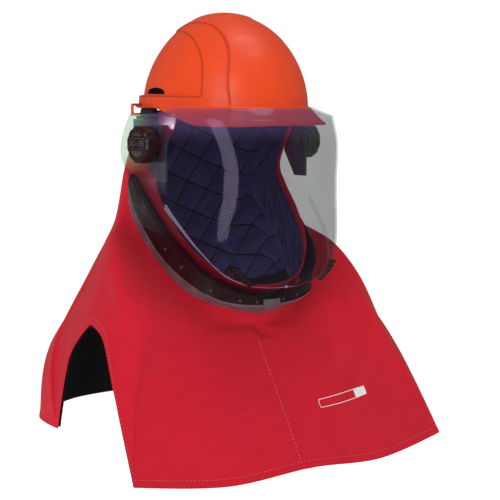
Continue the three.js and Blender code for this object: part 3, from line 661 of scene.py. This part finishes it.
# %% Build the window
def window_grid(band, front, flange, rows):
    """The sheet from side to side in columns and from the hat down to the chin in rows."""
    down = np.concatenate([np.zeros(flange), np.linspace(0, 1, rows)])
    columns = [side_points(-1, down, 1 - share) for share in np.linspace(0, 1, band + 1)[:-1]]
    columns += [front_points(share + down * 0, down) for share in np.linspace(-1, 1, front)]
    columns += [side_points(1, down, share) for share in np.linspace(0, 1, band + 1)[1:]]
    grid = np.stack(columns, 1)
    for row in range(flange):
        point = grid[row]
        angle = np.arctan2(point[:, 0] / HAT["half_width"], -point[:, 1] / HAT["half_length"])
        room = WINDOW["flange_gap"] + HAT["belt_step"] * (1 - smooth(np.cos(angle), 0.2, 0.75))
        rim = np.stack([
            (HAT["half_width"] + room) * np.sin(angle),
            -(HAT["half_length"] + room) * np.cos(angle) + HAT["back"],
            WINDOW["flange_rise"] + 0 * angle], -1)
        near = smooth(-point[:, 1], 0, -BANDS[0][0][1])
        reach = WINDOW["side_share"] + (1 - WINDOW["side_share"]) * near
        grid[row] = point + (rim - point) * (reach * (1 - row / flange))[:, None]
    for bend in (band + 1, band + front):
        near = grid[:, bend - 1:bend + 2]
        grid[:, bend] = 0.5 * near[:, 1] + 0.25 * (near[:, 0] + near[:, 2])
    return grid


def pin_hole(side):
    """A round cutter for the hole that a pivot pin passes through."""
    turn = np.linspace(0, math.tau, 40, endpoint=False)
    radius = PIVOT["radius"] + GAP["slide"]
    circle = np.stack([radius * np.cos(turn) - PIVOT["forward"], radius * np.sin(turn) - PIVOT["drop"]], -1)
    return prism("pin_hole", circle, *sorted((side * 110, side * 140)), 0)


BAND_COLUMNS, FRONT_COLUMNS, FLANGE_ROWS = 14, 120, 10
sheet = window_grid(BAND_COLUMNS, FRONT_COLUMNS, FLANGE_ROWS, 96)
clear = wall("clear_window", sheet, sheet - WINDOW["wall"] * normals_of(sheet, False), False)
cut_with(clear, [pin_hole(side) for side in (-1, 1)])
clear.data.shade_smooth()
finish_piece(clear, "window", "window_plastic", window_clear, "window", angle=30)

# The painted highlight takes the faces near the bend's two columns, below the top corner
BEND_TOP_ROW, BEND_LINE = 34, 2.2
clear.data.materials.append(bend_highlight)
bends = np.concatenate([sheet[BEND_TOP_ROW:, k] for k in (BAND_COLUMNS + 1, -BAND_COLUMNS - 2)])
bends = np.concatenate([bends, (bends[1:] + bends[:-1]) / 2]) * MM
bend_tree = KDTree(len(bends))
for index, point in enumerate(bends):
    bend_tree.insert(point, index)
bend_tree.balance()
for face in clear.data.polygons:
    face.material_index = int(bend_tree.find(face.center)[2] < BEND_LINE * MM)

# %% [markdown]
# ## Chin guard
# The guard is a dark moulding that carries the window's lower edge and closes it to the cloth. It has a
# thin bead along its top, a band with a row of rivets, and a lip that rolls out at the foot. The roll is
# what catches the light, so the profile is drawn as a curve across the band and not as a flat strip.

# %% Build the chin guard
GUARD = dict(wall=3.5, overlap=0.12, start=3.15 / 12, lip=0.51)
GUARD_DEPTH = WINDOW["wall"] + GAP["fold"]


def guard_points(rounds, fall):
    """Points along the guard at one fall, from one ear to the other."""
    side = np.where(rounds < 0.5, -1, 1)
    down = 1 + (GUARD["start"] - 1) * np.abs(2 * rounds - 1)
    out = 1 - GUARD["overlap"] + (2 + GUARD["overlap"]) * fall
    return side_points(1, down, out) * np.stack([side, side * side, side * side], -1)


rounds = np.linspace(0, 1, 220)
falls = np.concatenate([
    np.linspace(0, 0.06, 6), np.linspace(0.08, 0.48, 11), np.linspace(0.5, 0.62, 9),
    np.linspace(0.66, 1, 10)])
guard_face = np.stack([guard_points(rounds, fall) for fall in falls])
bead = 0.9 * np.exp(-(((falls - 0.1) / 0.018) ** 2)) - 0.7 * np.exp(-(((falls - 0.56) / 0.03) ** 2))
bead += 0.5 * smooth(falls, 0.9, 1)
guard_normals = normals_of(guard_face, False)
outer = guard_face - (GUARD_DEPTH - bead[:, None, None]) * guard_normals
inner = guard_face - (GUARD_DEPTH + GUARD["wall"]) * guard_normals
guard = wall("guard", outer, inner, False)
finish_piece(guard, "hood", "guard_plastic", guard_maroon, "chin_guard", angle=50)
guard.data.materials.append(guard_lip_highlight)
# Faces of the outer and inner side come first, row by row, so a face's number gives its fall
per_row, on_face = len(rounds) - 1, (len(falls) - 1) * (len(rounds) - 1)
# Faces past the lip's fall get the lighter nylon, a painted highlight on the roll
for face in guard.data.polygons[:2 * on_face]:
    face.material_index = int(falls[face.index % on_face // per_row] > GUARD["lip"])
print("lip faces:", sum(face.material_index for face in guard.data.polygons))

# %% [markdown]
# ## Knobs and grips
# Each knob is a scalloped disc that tightens the window's pivot, with two ribs and a ring on its face.
# A face like that is a height map on a disc: rings and spokes of points, with the height worked out
# from the distance to each rib. The finger grips are small patches of the window's own curve, raised,
# with an oval dip for each finger rib.

# %% Build the knobs
KNOB = dict(radius=25.5, depth=23, scallops=12, scallop_depth=1.1)


def knob_height(y, z, radius, edge):
    """How far the knob's face stands out at a place on it."""
    height = KNOB["depth"] - 2.4 * smooth(radius / edge, 0.86, 1.0) ** 1.5
    height = height - 1.0 * smooth(radius, 17, 19) * (1 - smooth(radius, 20, 21))
    rib = sum(np.exp(-(((np.abs(z - level) / 1.9) ** 6))) for level in (-5.5, 8.5))
    height = height + 1.4 * rib * (1 - smooth(np.abs(y), 15.5, 17))
    ring = smooth(radius, 3.6, 4.2) * (1 - smooth(radius, 5.6, 6.2))
    diamond = 1 - smooth(np.abs(y) + np.abs(z), 2.0, 2.7)
    return height + 1.2 * ring + 1.0 * diamond


def knob_mesh(name, side):
    """Rings from the hub out over the face, down the scalloped side and in over the back."""
    turn = np.linspace(0, math.tau, 168, endpoint=False)
    edge = KNOB["radius"] - KNOB["scallop_depth"] * (1 + np.cos(KNOB["scallops"] * turn)) / 2
    shares = np.concatenate([np.linspace(0, 0.84, 46), np.linspace(0.86, 1, 10)])
    inside = WINDOW["half_width"] * 1.016 + GAP["slide"]
    rings = []
    for share in shares:
        radius = share * (KNOB["radius"] + (edge - KNOB["radius"]) * share**3)
        y, z = radius * np.cos(turn), radius * np.sin(turn)
        rings.append((y, z, inside + knob_height(y, z, radius, edge)))
    for share, height in ((1.004, 17), (1.004, 12), (1.004, 6), (0.99, 3.2), (0.95, 1.6), (0.9, 1.2)):
        rings.append((share * edge * np.cos(turn), share * edge * np.sin(turn), inside + height + 0 * turn))
    bore = PIVOT["radius"] + GAP["slide"]
    for radius, height in ((18, 1.2), (9, 0.8), (bore, 0), (bore, 14.6), (0, 14.8)):
        rings.append((radius * np.cos(turn), radius * np.sin(turn), inside + height + 0 * turn))
    points = np.array([
        np.stack([side * x, y - PIVOT["forward"], z - PIVOT["drop"]], -1) for y, z, x in rings])
    faces = quads(numbered(*points.shape[:2], True)).tolist()
    return placed(name, mesh_from(name, points, faces))


for word, side in (("right", -1), ("left", 1)):
    knob = knob_mesh(f"pivot_knob_{word}", side)
    face_out(knob.data)
    finish_piece(knob, f"knob_{word}", "knob_plastic", knob_maroon, f"knob_{word}", angle=60)

# %% Build the grips
GRIP = dict(start=0.71, stop=0.83, inner=0.55, outer=0.72, height=5, rim=1.2, dip=2, ribs=5)


def grip_mesh(name, side):
    """A patch of the window's curve, raised, with an oval dip for each rib."""
    along, over = np.linspace(0, 1, 90), np.linspace(0, 1, 26)
    down = GRIP["start"] + (GRIP["stop"] - GRIP["start"]) * along
    across = GRIP["inner"] + (GRIP["outer"] - GRIP["inner"]) * over
    face = np.stack([front_points(side * share + 0 * down, down) for share in across])
    outward = normals_of(face, False)
    outward = outward * -np.sign(outward[..., 1].mean())
    a, b = along[None], over[:, None]
    rounded = 1 - smooth((2 * a - 1) ** 8 + (2 * b - 1) ** 8, 0.55, 1.0)
    oval = ((a * GRIP["ribs"]) % 1 - 0.5) / 0.36
    dip = 1 - smooth(oval**2 + ((b - 0.5) / 0.36) ** 2, 0.55, 1.0)
    height = GRIP["rim"] + (GRIP["height"] - GRIP["rim"]) * rounded - GRIP["dip"] * dip
    return wall(name, face + height[..., None] * outward, face + 0.3 * outward, False)


for word, side in (("right", -1), ("left", 1)):
    grip = grip_mesh(f"finger_grip_{word}", side)
    face_out(grip.data)
    finish_piece(grip, "window", "knob_plastic", grip_maroon, f"grip_{word}", angle=50)

# %% [markdown]
# ## Brackets, adapters, pins, latch and rivets
# These solids already have their real shape, so they stay and only get a finish. A narrow bevel
# modifier rounds their edges, because no moulded edge is perfectly sharp and the round is what shines.

# %% Finish the small solids
for node, material, width in (
    ("bracket_right", bracket_grey, 0.5), ("bracket_left", bracket_grey, 0.5),
    ("slot_adapter_right", adapter_black, 0.3), ("slot_adapter_left", adapter_black, 0.3),
    ("pivot_right", steel, 0.3), ("pivot_left", steel, 0.3), ("chin_latch", latch_grey, 0.5),
):
    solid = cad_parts[node]
    solid.data.materials.clear()
    solid.data.materials.append(material)
    bevel = solid.modifiers.new("soft edge", "BEVEL")
    bevel.width, bevel.segments, bevel.limit_method = width * MM, 2, "ANGLE"
    bevel.angle_limit = math.radians(40)

# %% Build the rivets
# Each ring of a rivet: its radius and its height over the guard
RIVET_RINGS = [(2.4, 0), (2.4, 0.35), (2.2, 0.6), (1.7, 0.65), (1.4, 0.4), (1.1, 0.85), (0.6, 1.1), (0, 1.15)]
RIVET_SIDES = 20
work = bmesh.new()
studs = sorted(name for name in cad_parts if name.startswith("guard_stud"))
for name in studs:
    low, high = (np.array(corner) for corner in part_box(name))
    near = np.argmin(np.linalg.norm(outer * MM - (low + high) / 2, axis=2))
    turn = Vector(guard_normals.reshape(-1, 3)[near]).to_track_quat("Z", "Y").to_matrix().to_4x4()
    turn.translation = Vector(outer.reshape(-1, 3)[near] * MM)
    last = None
    for radius, height in RIVET_RINGS:
        ring = [
            work.verts.new(turn @ (Vector((radius * math.cos(a), radius * math.sin(a), height)) * MM))
            for a in np.linspace(0, math.tau, RIVET_SIDES, endpoint=False)]
        if last is None:
            work.faces.new(ring[::-1])
        else:
            for k in range(RIVET_SIDES):
                after = (k + 1) % RIVET_SIDES
                work.faces.new([last[k], last[after], ring[after], ring[k]])
        last = ring
mesh = bpy.data.meshes.new("guard_rivets")
work.to_mesh(mesh)
work.free()
finish_piece(placed("guard_rivets", mesh), "hood", "steel", rivet_dark, *studs, angle=60)

# %% [markdown]
# ## Cloth hood
# The outer cloth is a heavy flame resistant twill, cut in panels and sewn round the guard. It is stiff
# enough to stand off the shoulders in a few long soft folds. The whole hood is one grid of lines that
# run from the face opening over the shoulders to the hem, through five rings of points. Folds are then
# added from a short list, each a straight crease that fades at both ends. A cloth simulation would
# drape it too, but it would lose the outline that the real one keeps.

# %% Cloth sizes and sections
HOOD = dict(half_width=267, reach=188, drop=474, cloth=2, quilt=2.6, cape_cloth=1.6)
# Each row: edge and collar as window shares, shoulder, drape and hem as hood shares, and a corner mark
HOOD_ROWS = [
    ((0, 0.617, -1), (0, 0.455, -1.2), (0, 0.436, -0.643), (0, 0.713, -0.816), (0, 1, -1), False),
    ((0.425, 0.557, -0.966), (0.386, 0.407, -1.17), (0.36, 0.44, -0.64), (0.44, 0.7, -0.816),
     (0.5, 0.968, -1.014), False),
    ((0.677, 0.437, -0.864), (0.748, 0.275, -1.055), (0.64, 0.4, -0.575), (0.86, 0.6, -0.78),
     (1, 0.851, -0.983), True),
    ((0.827, 0.299, -0.746), (0.85, 0.114, -0.958), (0.735, 0.27, -0.505), (0.865, 0.38, -0.65),
     (0.945, 0.5, -0.755), False),
    ((0.898, 0.12, -0.593), (0.913, -0.048, -0.839), (0.72, 0.1, -0.425), (0.81, 0.17, -0.54),
     (0.885, 0.24, -0.625), False),
    ((0.898, -0.036, -0.445), (0.942, -0.22, -0.706), (0.685, -0.06, -0.385), (0.77, -0.04, -0.49),
     (0.845, -0.01, -0.595), True),
    ((0.866, -0.072, -0.318), (0.942, -0.352, -0.579), (0.61, -0.26, -0.36), (0.77, -0.235, -0.54),
     (0.88, -0.22, -0.7), False),
    ((0.803, 0.144, -0.034), (0.913, -0.42, -0.42), (0.53, -0.47, -0.4), (0.8, -0.55, -0.69),
     (0.87, -0.4, -0.915), True),
    ((0.764, -0.287, -0.008), (0.85, -0.527, -0.318), (0.4, -0.7, -0.42), (0.71, -0.85, -0.69),
     (0.81, -0.79, -0.905), False),
    ((0.472, -0.587, -0.008), (0.567, -0.731, -0.318), (0.27, -0.86, -0.45), (0.42, -1.05, -0.675),
     (0.46, -1.14, -0.9), False),
    ((0, -0.719, -0.008), (0, -0.826, -0.318), (0, -0.92, -0.45), (0, -1.1, -0.675), (0, -1.22, -0.898),
     False),
]
hood_sizes = np.array([HOOD["half_width"], -HOOD["reach"], HOOD["drop"]])
RINGS = [
    mirrored(np.array([row[ring] for row in HOOD_ROWS]) * (window_sizes if ring < 2 else hood_sizes))
    for ring in range(5)]
RING_FALL = np.array([0, 0.16, 0.42, 0.7, 1])
half_corners = [row[5] for row in HOOD_ROWS]
CORNERS = half_corners + half_corners[::-1][1:]


def hood_grid(turns, falls):
    """Points of the cloth: turns run round from the chest, falls down from the opening to the hem."""
    lines = np.stack([
        through(ring, turns, CORNERS if index > 2 else None, loop=True) for index, ring in enumerate(RINGS)])
    place = np.interp(falls, RING_FALL, np.arange(5)) / 4
    return through(lines, place)


# %% Folds
# Each fold: turn and fall where it starts, where it ends, its half width in mm and its height in mm
FOLDS = [
    (0.000, 0.30, 0.002, 0.44, 7, -7),
    (0.975, 0.32, 0.945, 0.85, 30, 3),
    (0.022, 0.34, 0.040, 0.9, 26, 3),
    (0.060, 0.34, 0.082, 0.92, 30, -4),
    (0.930, 0.36, 0.915, 0.92, 30, -4),
    (0.895, 0.34, 0.872, 0.86, 22, 4),
    (0.105, 0.36, 0.128, 0.86, 22, 4),
    (0.650, 0.34, 0.640, 0.92, 20, 5),
    (0.350, 0.34, 0.360, 0.92, 20, 5),
    (0.600, 0.40, 0.580, 0.98, 26, -6),
    (0.400, 0.40, 0.420, 0.98, 26, -6),
    (0.540, 0.36, 0.545, 0.96, 24, 5),
    (0.460, 0.36, 0.455, 0.96, 24, 5),
    (0.500, 0.44, 0.500, 0.98, 26, -5),
    (0.690, 0.30, 0.670, 0.60, 14, -4),
    (0.310, 0.30, 0.330, 0.60, 14, -4),
]


def fold_height(turns, falls, lay):
    """Height of all folds over the grid, from their flat distance to each fold's line."""
    total = np.zeros((len(falls), len(turns)))
    run = lay[..., 0].max(axis=1)
    for turn_a, fall_a, turn_b, fall_b, half, height in FOLDS:
        share = np.clip((falls - fall_a) / (fall_b - fall_a), -0.5, 1.5)
        middle = turn_a + (turn_b - turn_a) * share
        apart = (turns[None] - middle[:, None] + 0.5) % 1 - 0.5
        distance = apart * run[:, None] / MM
        ends = smooth(share, -0.12, 0.25) * (1 - smooth(share, 0.8, 1.15))
        total += height * ends[:, None] * np.exp(-((distance / half) ** 2))
    return total


def flat_places(grid):
    """Places on the unrolled cloth in metres: round along each line, and down from its top."""
    step = np.linalg.norm(np.roll(grid, -1, 1) - grid, axis=2)
    around = np.concatenate([np.zeros((len(grid), 1)), np.cumsum(step, 1)[:, :-1]], 1)
    fall = np.linalg.norm(np.diff(grid, axis=0), axis=2)
    down = np.concatenate([np.zeros((1, grid.shape[1])), np.cumsum(fall, 0)])
    return np.stack([around, down], -1) * MM


# %% Build the outer cloth
HEM_SEAM = 10  # from the hem up to its seam
turns = np.arange(420) / 420
falls = np.concatenate([np.linspace(0, 0.94, 128), np.linspace(0.946, 1, 14)])
plain = hood_grid(turns, falls)
lay = flat_places(plain)
cloth_normals = normals_of(plain, True)
to_hem = (lay[-1:, :, 1] - lay[..., 1]) / MM
relief = fold_height(turns, falls, lay) * smooth(falls, 0.26, 0.4)[:, None]
waves = ripple(plain[..., 0] + plain[..., 1], plain[..., 2], 150, 3)
relief += 0.8 * waves * smooth(falls, 0.3, 0.5)[:, None]
# The seam down the chest is a narrow groove, and so is the hem's seam, over a slightly thicker hem
from_seam = np.abs((turns + 0.5) % 1 - 0.5)[None] * lay[..., 0].max(axis=1)[:, None] / MM
relief -= 0.8 * np.exp(-((from_seam / 1.6) ** 2)) * smooth(falls, 0.3, 0.36)[:, None]
relief += 0.7 * (1 - smooth(to_hem, 8, 11)) - 0.5 * np.exp(-(((to_hem - HEM_SEAM) / 1.6) ** 2))
cloth_face = plain + relief[..., None] * cloth_normals
cloth = wall("outer_cloth", cloth_face, cloth_face - HOOD["cloth"] * cloth_normals, True, lay)
finish_piece(cloth, "hood", "red_cloth", red_twill, "hood_cloth", angle=70)

# %% [markdown]
# ## Linings
# Behind the window the hood is lined with navy cloth quilted in slanted squares. A quilt is thick in the
# middle of each square and thin along the stitches, so the lining's inner face is moved in by the product
# of two slanted waves. Fine wrinkles break it up. Below it hangs a plain black lining.

# %% Build the linings
LINING_ROWS = 14  # how many parts the ends of a lining are counted in, from the opening to the hem


def lining(name, ends, thickness, puff, wrinkle, *finish):
    """A cloth inside the outer one, between two ends down from the opening. Lengths are in mm."""
    reach = np.linspace(ends[0] / LINING_ROWS, ends[1] / LINING_ROWS, 90)
    base = hood_grid(turns, reach)
    normal = normals_of(base, True)
    places = flat_places(base)
    u, v = places[..., 0] / MM, places[..., 1] / MM
    middle = u - u[:, [len(turns) // 2]]
    fold = fold_height(turns, reach, places) * smooth(reach, 0.26, 0.4)[:, None]
    depth = HOOD["cloth"] + GAP["lining"]
    places[..., 0] = middle * MM
    one = middle * math.cos(SLANT) - v * math.sin(SLANT)
    other = middle * math.sin(SLANT) + v * math.cos(SLANT)
    soft = np.abs(np.sin(math.pi * one / QUILT) * np.sin(math.pi * other / QUILT)) ** 0.6
    swell = puff * soft + wrinkle * ripple(u, v, 16, 8) * (0.4 + soft) + wrinkle * ripple(u, v, 34, 9)
    back = base + (fold - depth)[..., None] * normal
    face = base + (fold - depth - thickness - swell)[..., None] * normal
    return finish_piece(wall(name, back, face, True, places), "hood", *finish, angle=80)


head_quilt = lining(
    "head_quilt", (0.42, 7.6), HOOD["quilt"], 3.6, 1.1, "navy_lining", navy_quilt, "head_lining")
cape_back = lining(
    "cape_back", (7.62, 13.85), HOOD["cape_cloth"], 0, 0.1, "black_lining", black_cloth, "cape_lining")

# %% [markdown]
# ## Seams and print
# Sewing thread sits on the cloth in short stitches with a gap between. Each row of stitches is one mesh
# of small blocks, because thousands of separate objects would be slow. The print place on the chest is
# a plain rounded outline with one filled end.

# %% Stitches
def stitch_row(points, outward, length=3.2, gap=2.4, width=0.9, height=0.5):
    """Blocks along a line on the cloth, narrower at the top. points and outward are in mm."""
    step = np.linalg.norm(np.diff(points, axis=0), axis=1)
    travelled = np.concatenate([[0], np.cumsum(step)])

    def at(distance, values):
        return np.array([np.interp(distance, travelled, column) for column in values.T])

    vertices, faces = [], []
    for start in np.arange(0, travelled[-1] - length, length + gap):
        ends = at(start, points), at(start + length, points)
        up = at(start + length / 2, outward)
        up /= np.linalg.norm(up)
        along = ends[1] - ends[0]
        across = np.cross(up, along / max(np.linalg.norm(along), 1e-9)) * width / 2
        first = len(vertices)
        for level, inset in ((-0.3, 1), (height, 0.6)):
            trim = along * (1 - inset) / 2
            for end, sign in ((ends[0] + trim, 1), (ends[1] - trim, -1)):
                side = across * inset * sign
                vertices += [end + side + up * level, end - side + up * level]
        faces += [[first + k for k in face] for face in (
            (0, 1, 2, 3), (7, 6, 5, 4), (0, 4, 5, 1), (1, 5, 6, 2), (2, 6, 7, 3), (3, 7, 4, 0))]
    return vertices, faces


around = range(len(turns))
hem_points = np.array([
    [np.interp(-HEM_SEAM, -to_hem[:, c], cloth_face[:, c, k]) for k in range(3)] for c in around])
hem_rows = np.argmin(np.abs(to_hem - HEM_SEAM), axis=0)
hem_out = cloth_normals[hem_rows, around]
vertices, faces = stitch_row(np.vstack([hem_points, hem_points[:1]]), np.vstack([hem_out, hem_out[:1]]))
# The chest seam's stitches run two columns beside its groove
seam_rows = np.where((falls > 0.43) & (falls < 0.985))[0]
more, joined = stitch_row(cloth_face[seam_rows, -2], cloth_normals[seam_rows, -2])
faces += [[len(vertices) + k for k in face] for face in joined]
vertices += more
mesh = mesh_from("seam_stitches", vertices, faces)
mesh.uv_layers.new(name="Lay")
stitches = placed("seam_stitches", mesh)
finish_piece(stitches, "hood", "red_cloth", thread_pink, angle=60)

# %% Print place
# Its middle on the chest, its half width and half height, how much it rises across the chest, the width of
# its line, and where the filled end starts
PRINT = dict(across=100, up=-397, half_wide=48, half_high=5.8, rise=0.07, line=0.8, filled_from=23)
PRINT_LIFT = 0.2
tree = BVHTree.FromObject(cloth, bpy.context.evaluated_depsgraph_get())


def on_chest(x, z):
    """The cloth's outer face straight ahead of a place in the print, in metres."""
    place = Vector(((PRINT["across"] + x) * MM, -1, (PRINT["up"] + z + PRINT["rise"] * x) * MM))
    hit, normal = tree.ray_cast(place, Vector((0, 1, 0)))[:2]
    return hit + normal * (PRINT_LIFT * MM if normal.y < 0 else -PRINT_LIFT * MM)


def rounded(inset, radius, count=120):
    """A rounded rectangle inside the print's outline."""
    wide, high = PRINT["half_wide"] - inset - radius, PRINT["half_high"] - inset - radius
    for share in np.linspace(0, math.tau, count, endpoint=False):
        x = wide * np.clip(1.6 * math.cos(share), -1, 1) + radius * math.cos(share)
        yield x, high * np.clip(1.6 * math.sin(share), -1, 1) + radius * math.sin(share)


work = bmesh.new()
outside, inside = (
    [work.verts.new(on_chest(*place)) for place in rounded(inset, radius)]
    for inset, radius in ((0, 2.2), (PRINT["line"], 1.6)))
for k, corner in enumerate(outside):
    work.faces.new([outside[k - 1], corner, inside[k], inside[k - 1]])
wide, high = PRINT["half_wide"] - 0.6, PRINT["half_high"] - 0.5
columns, levels = np.linspace(PRINT["filled_from"], wide, 16), np.linspace(-high, high, 6)
block = [[work.verts.new(on_chest(x, z)) for x in columns] for z in levels]
for k in range(len(levels) - 1):
    for j in range(len(columns) - 1):
        work.faces.new([block[k][j], block[k][j + 1], block[k + 1][j + 1], block[k + 1][j]])
mesh = bpy.data.meshes.new("chest_print")
work.to_mesh(mesh)
work.free()
mesh.uv_layers.new(name="Lay")
chest_print = placed("chest_print", mesh)
finish_piece(chest_print, "hood", "red_cloth", print_white, angle=60)

# %% [markdown]
# ## Floor and light
# The photograph is a catalogue picture on white with soft light from the front and above. A white world
# gives the even base, and a tall soft light from the camera's left shapes the hood and gives the window
# its upright reflection. A wide light above fills in, and a tiny one behind glints on the window's edge.
# The floor is plain and pale, a quarter of a metre below the hem. It and the world look white to the
# camera and darker to reflections, so the clear window isn't veiled by them.

# %% Light the scene
FLOOR_HALF, FLOOR_BELOW = 1.5, 0.25
floor_mesh = bpy.data.meshes.new("floor")
floor_corners = [(FLOOR_HALF * x, FLOOR_HALF * y, 0) for x, y in ((-1, -1), (1, -1), (1, 1), (-1, 1))]
floor_mesh.from_pydata(floor_corners, [], [(0, 1, 2, 3)])
floor = add_object("floor", floor_mesh)
floor.location.z = CAD_BOX[0][2] - FLOOR_BELOW
pale_floor = new_material(
    "pale_floor", Base_Color=linear("#fbfbfb"), Roughness=0.9, Emission_Color=(1, 1, 1, 1))
mirrored_ray = add_node(pale_floor, "ShaderNodeLightPath").outputs["Is Glossy Ray"]
glow = add_node(pale_floor, "ShaderNodeMapRange", Value=mirrored_ray, To_Min=0.57, To_Max=0)
floor_colour = shades(pale_floor, mirrored_ray, "#fbfbfb", "#8d8d8d")
to_shader(pale_floor, Base_Color=floor_colour, Emission_Strength=glow)
floor_mesh.materials.append(pale_floor)

WORLD_LEVEL = dict(lighting=0.5, reflected=0.18, seen=1.05)
world = bpy.data.worlds.new("studio")
bpy.context.scene.world = world
world.use_nodes = True
background = world.node_tree.nodes["Background"]
background.inputs["Color"].default_value = (1, 1, 1, 1)
rays = add_node(world, "ShaderNodeLightPath").outputs
dimmed = add_node(
    world, "ShaderNodeMix", Factor=rays["Is Glossy Ray"], A=WORLD_LEVEL["lighting"],
    B=WORLD_LEVEL["reflected"])
shown = add_node(world, "ShaderNodeMix", Factor=rays["Is Camera Ray"], A=dimmed, B=WORLD_LEVEL["seen"])
fill(world.node_tree, background.inputs["Strength"], shown)


def soft_light(name, place, aim, size, power_w, shine=1.0):
    """A rectangular light at a place, turned to what it aims at. shine scales its reflections."""
    light = bpy.data.lights.new(name, "AREA")
    light.specular_factor = shine
    light.shape, light.size, light.size_y, light.energy = "RECTANGLE", *size, power_w
    lamp = add_object(name, light)
    lamp.location = place
    lamp.rotation_euler = (Vector(aim) - Vector(place)).to_track_quat("-Z", "Y").to_euler()


soft_light("key", (-2.2, -1.5, 0.65), (0, 0, -0.1), (1.1, 2.5), 36, 0.28)
soft_light("top", (0.3, -0.4, 2.2), (0, 0, 0), (1.4, 1.4), 16)
soft_light("edge", (-1.683, 1.922, -0.15), (-0.127, -0.03, -0.02), (0.06, 0.08), 0.8)
bpy.context.scene.view_settings.view_transform = "Standard"
bpy.context.scene.view_settings.look = "None"
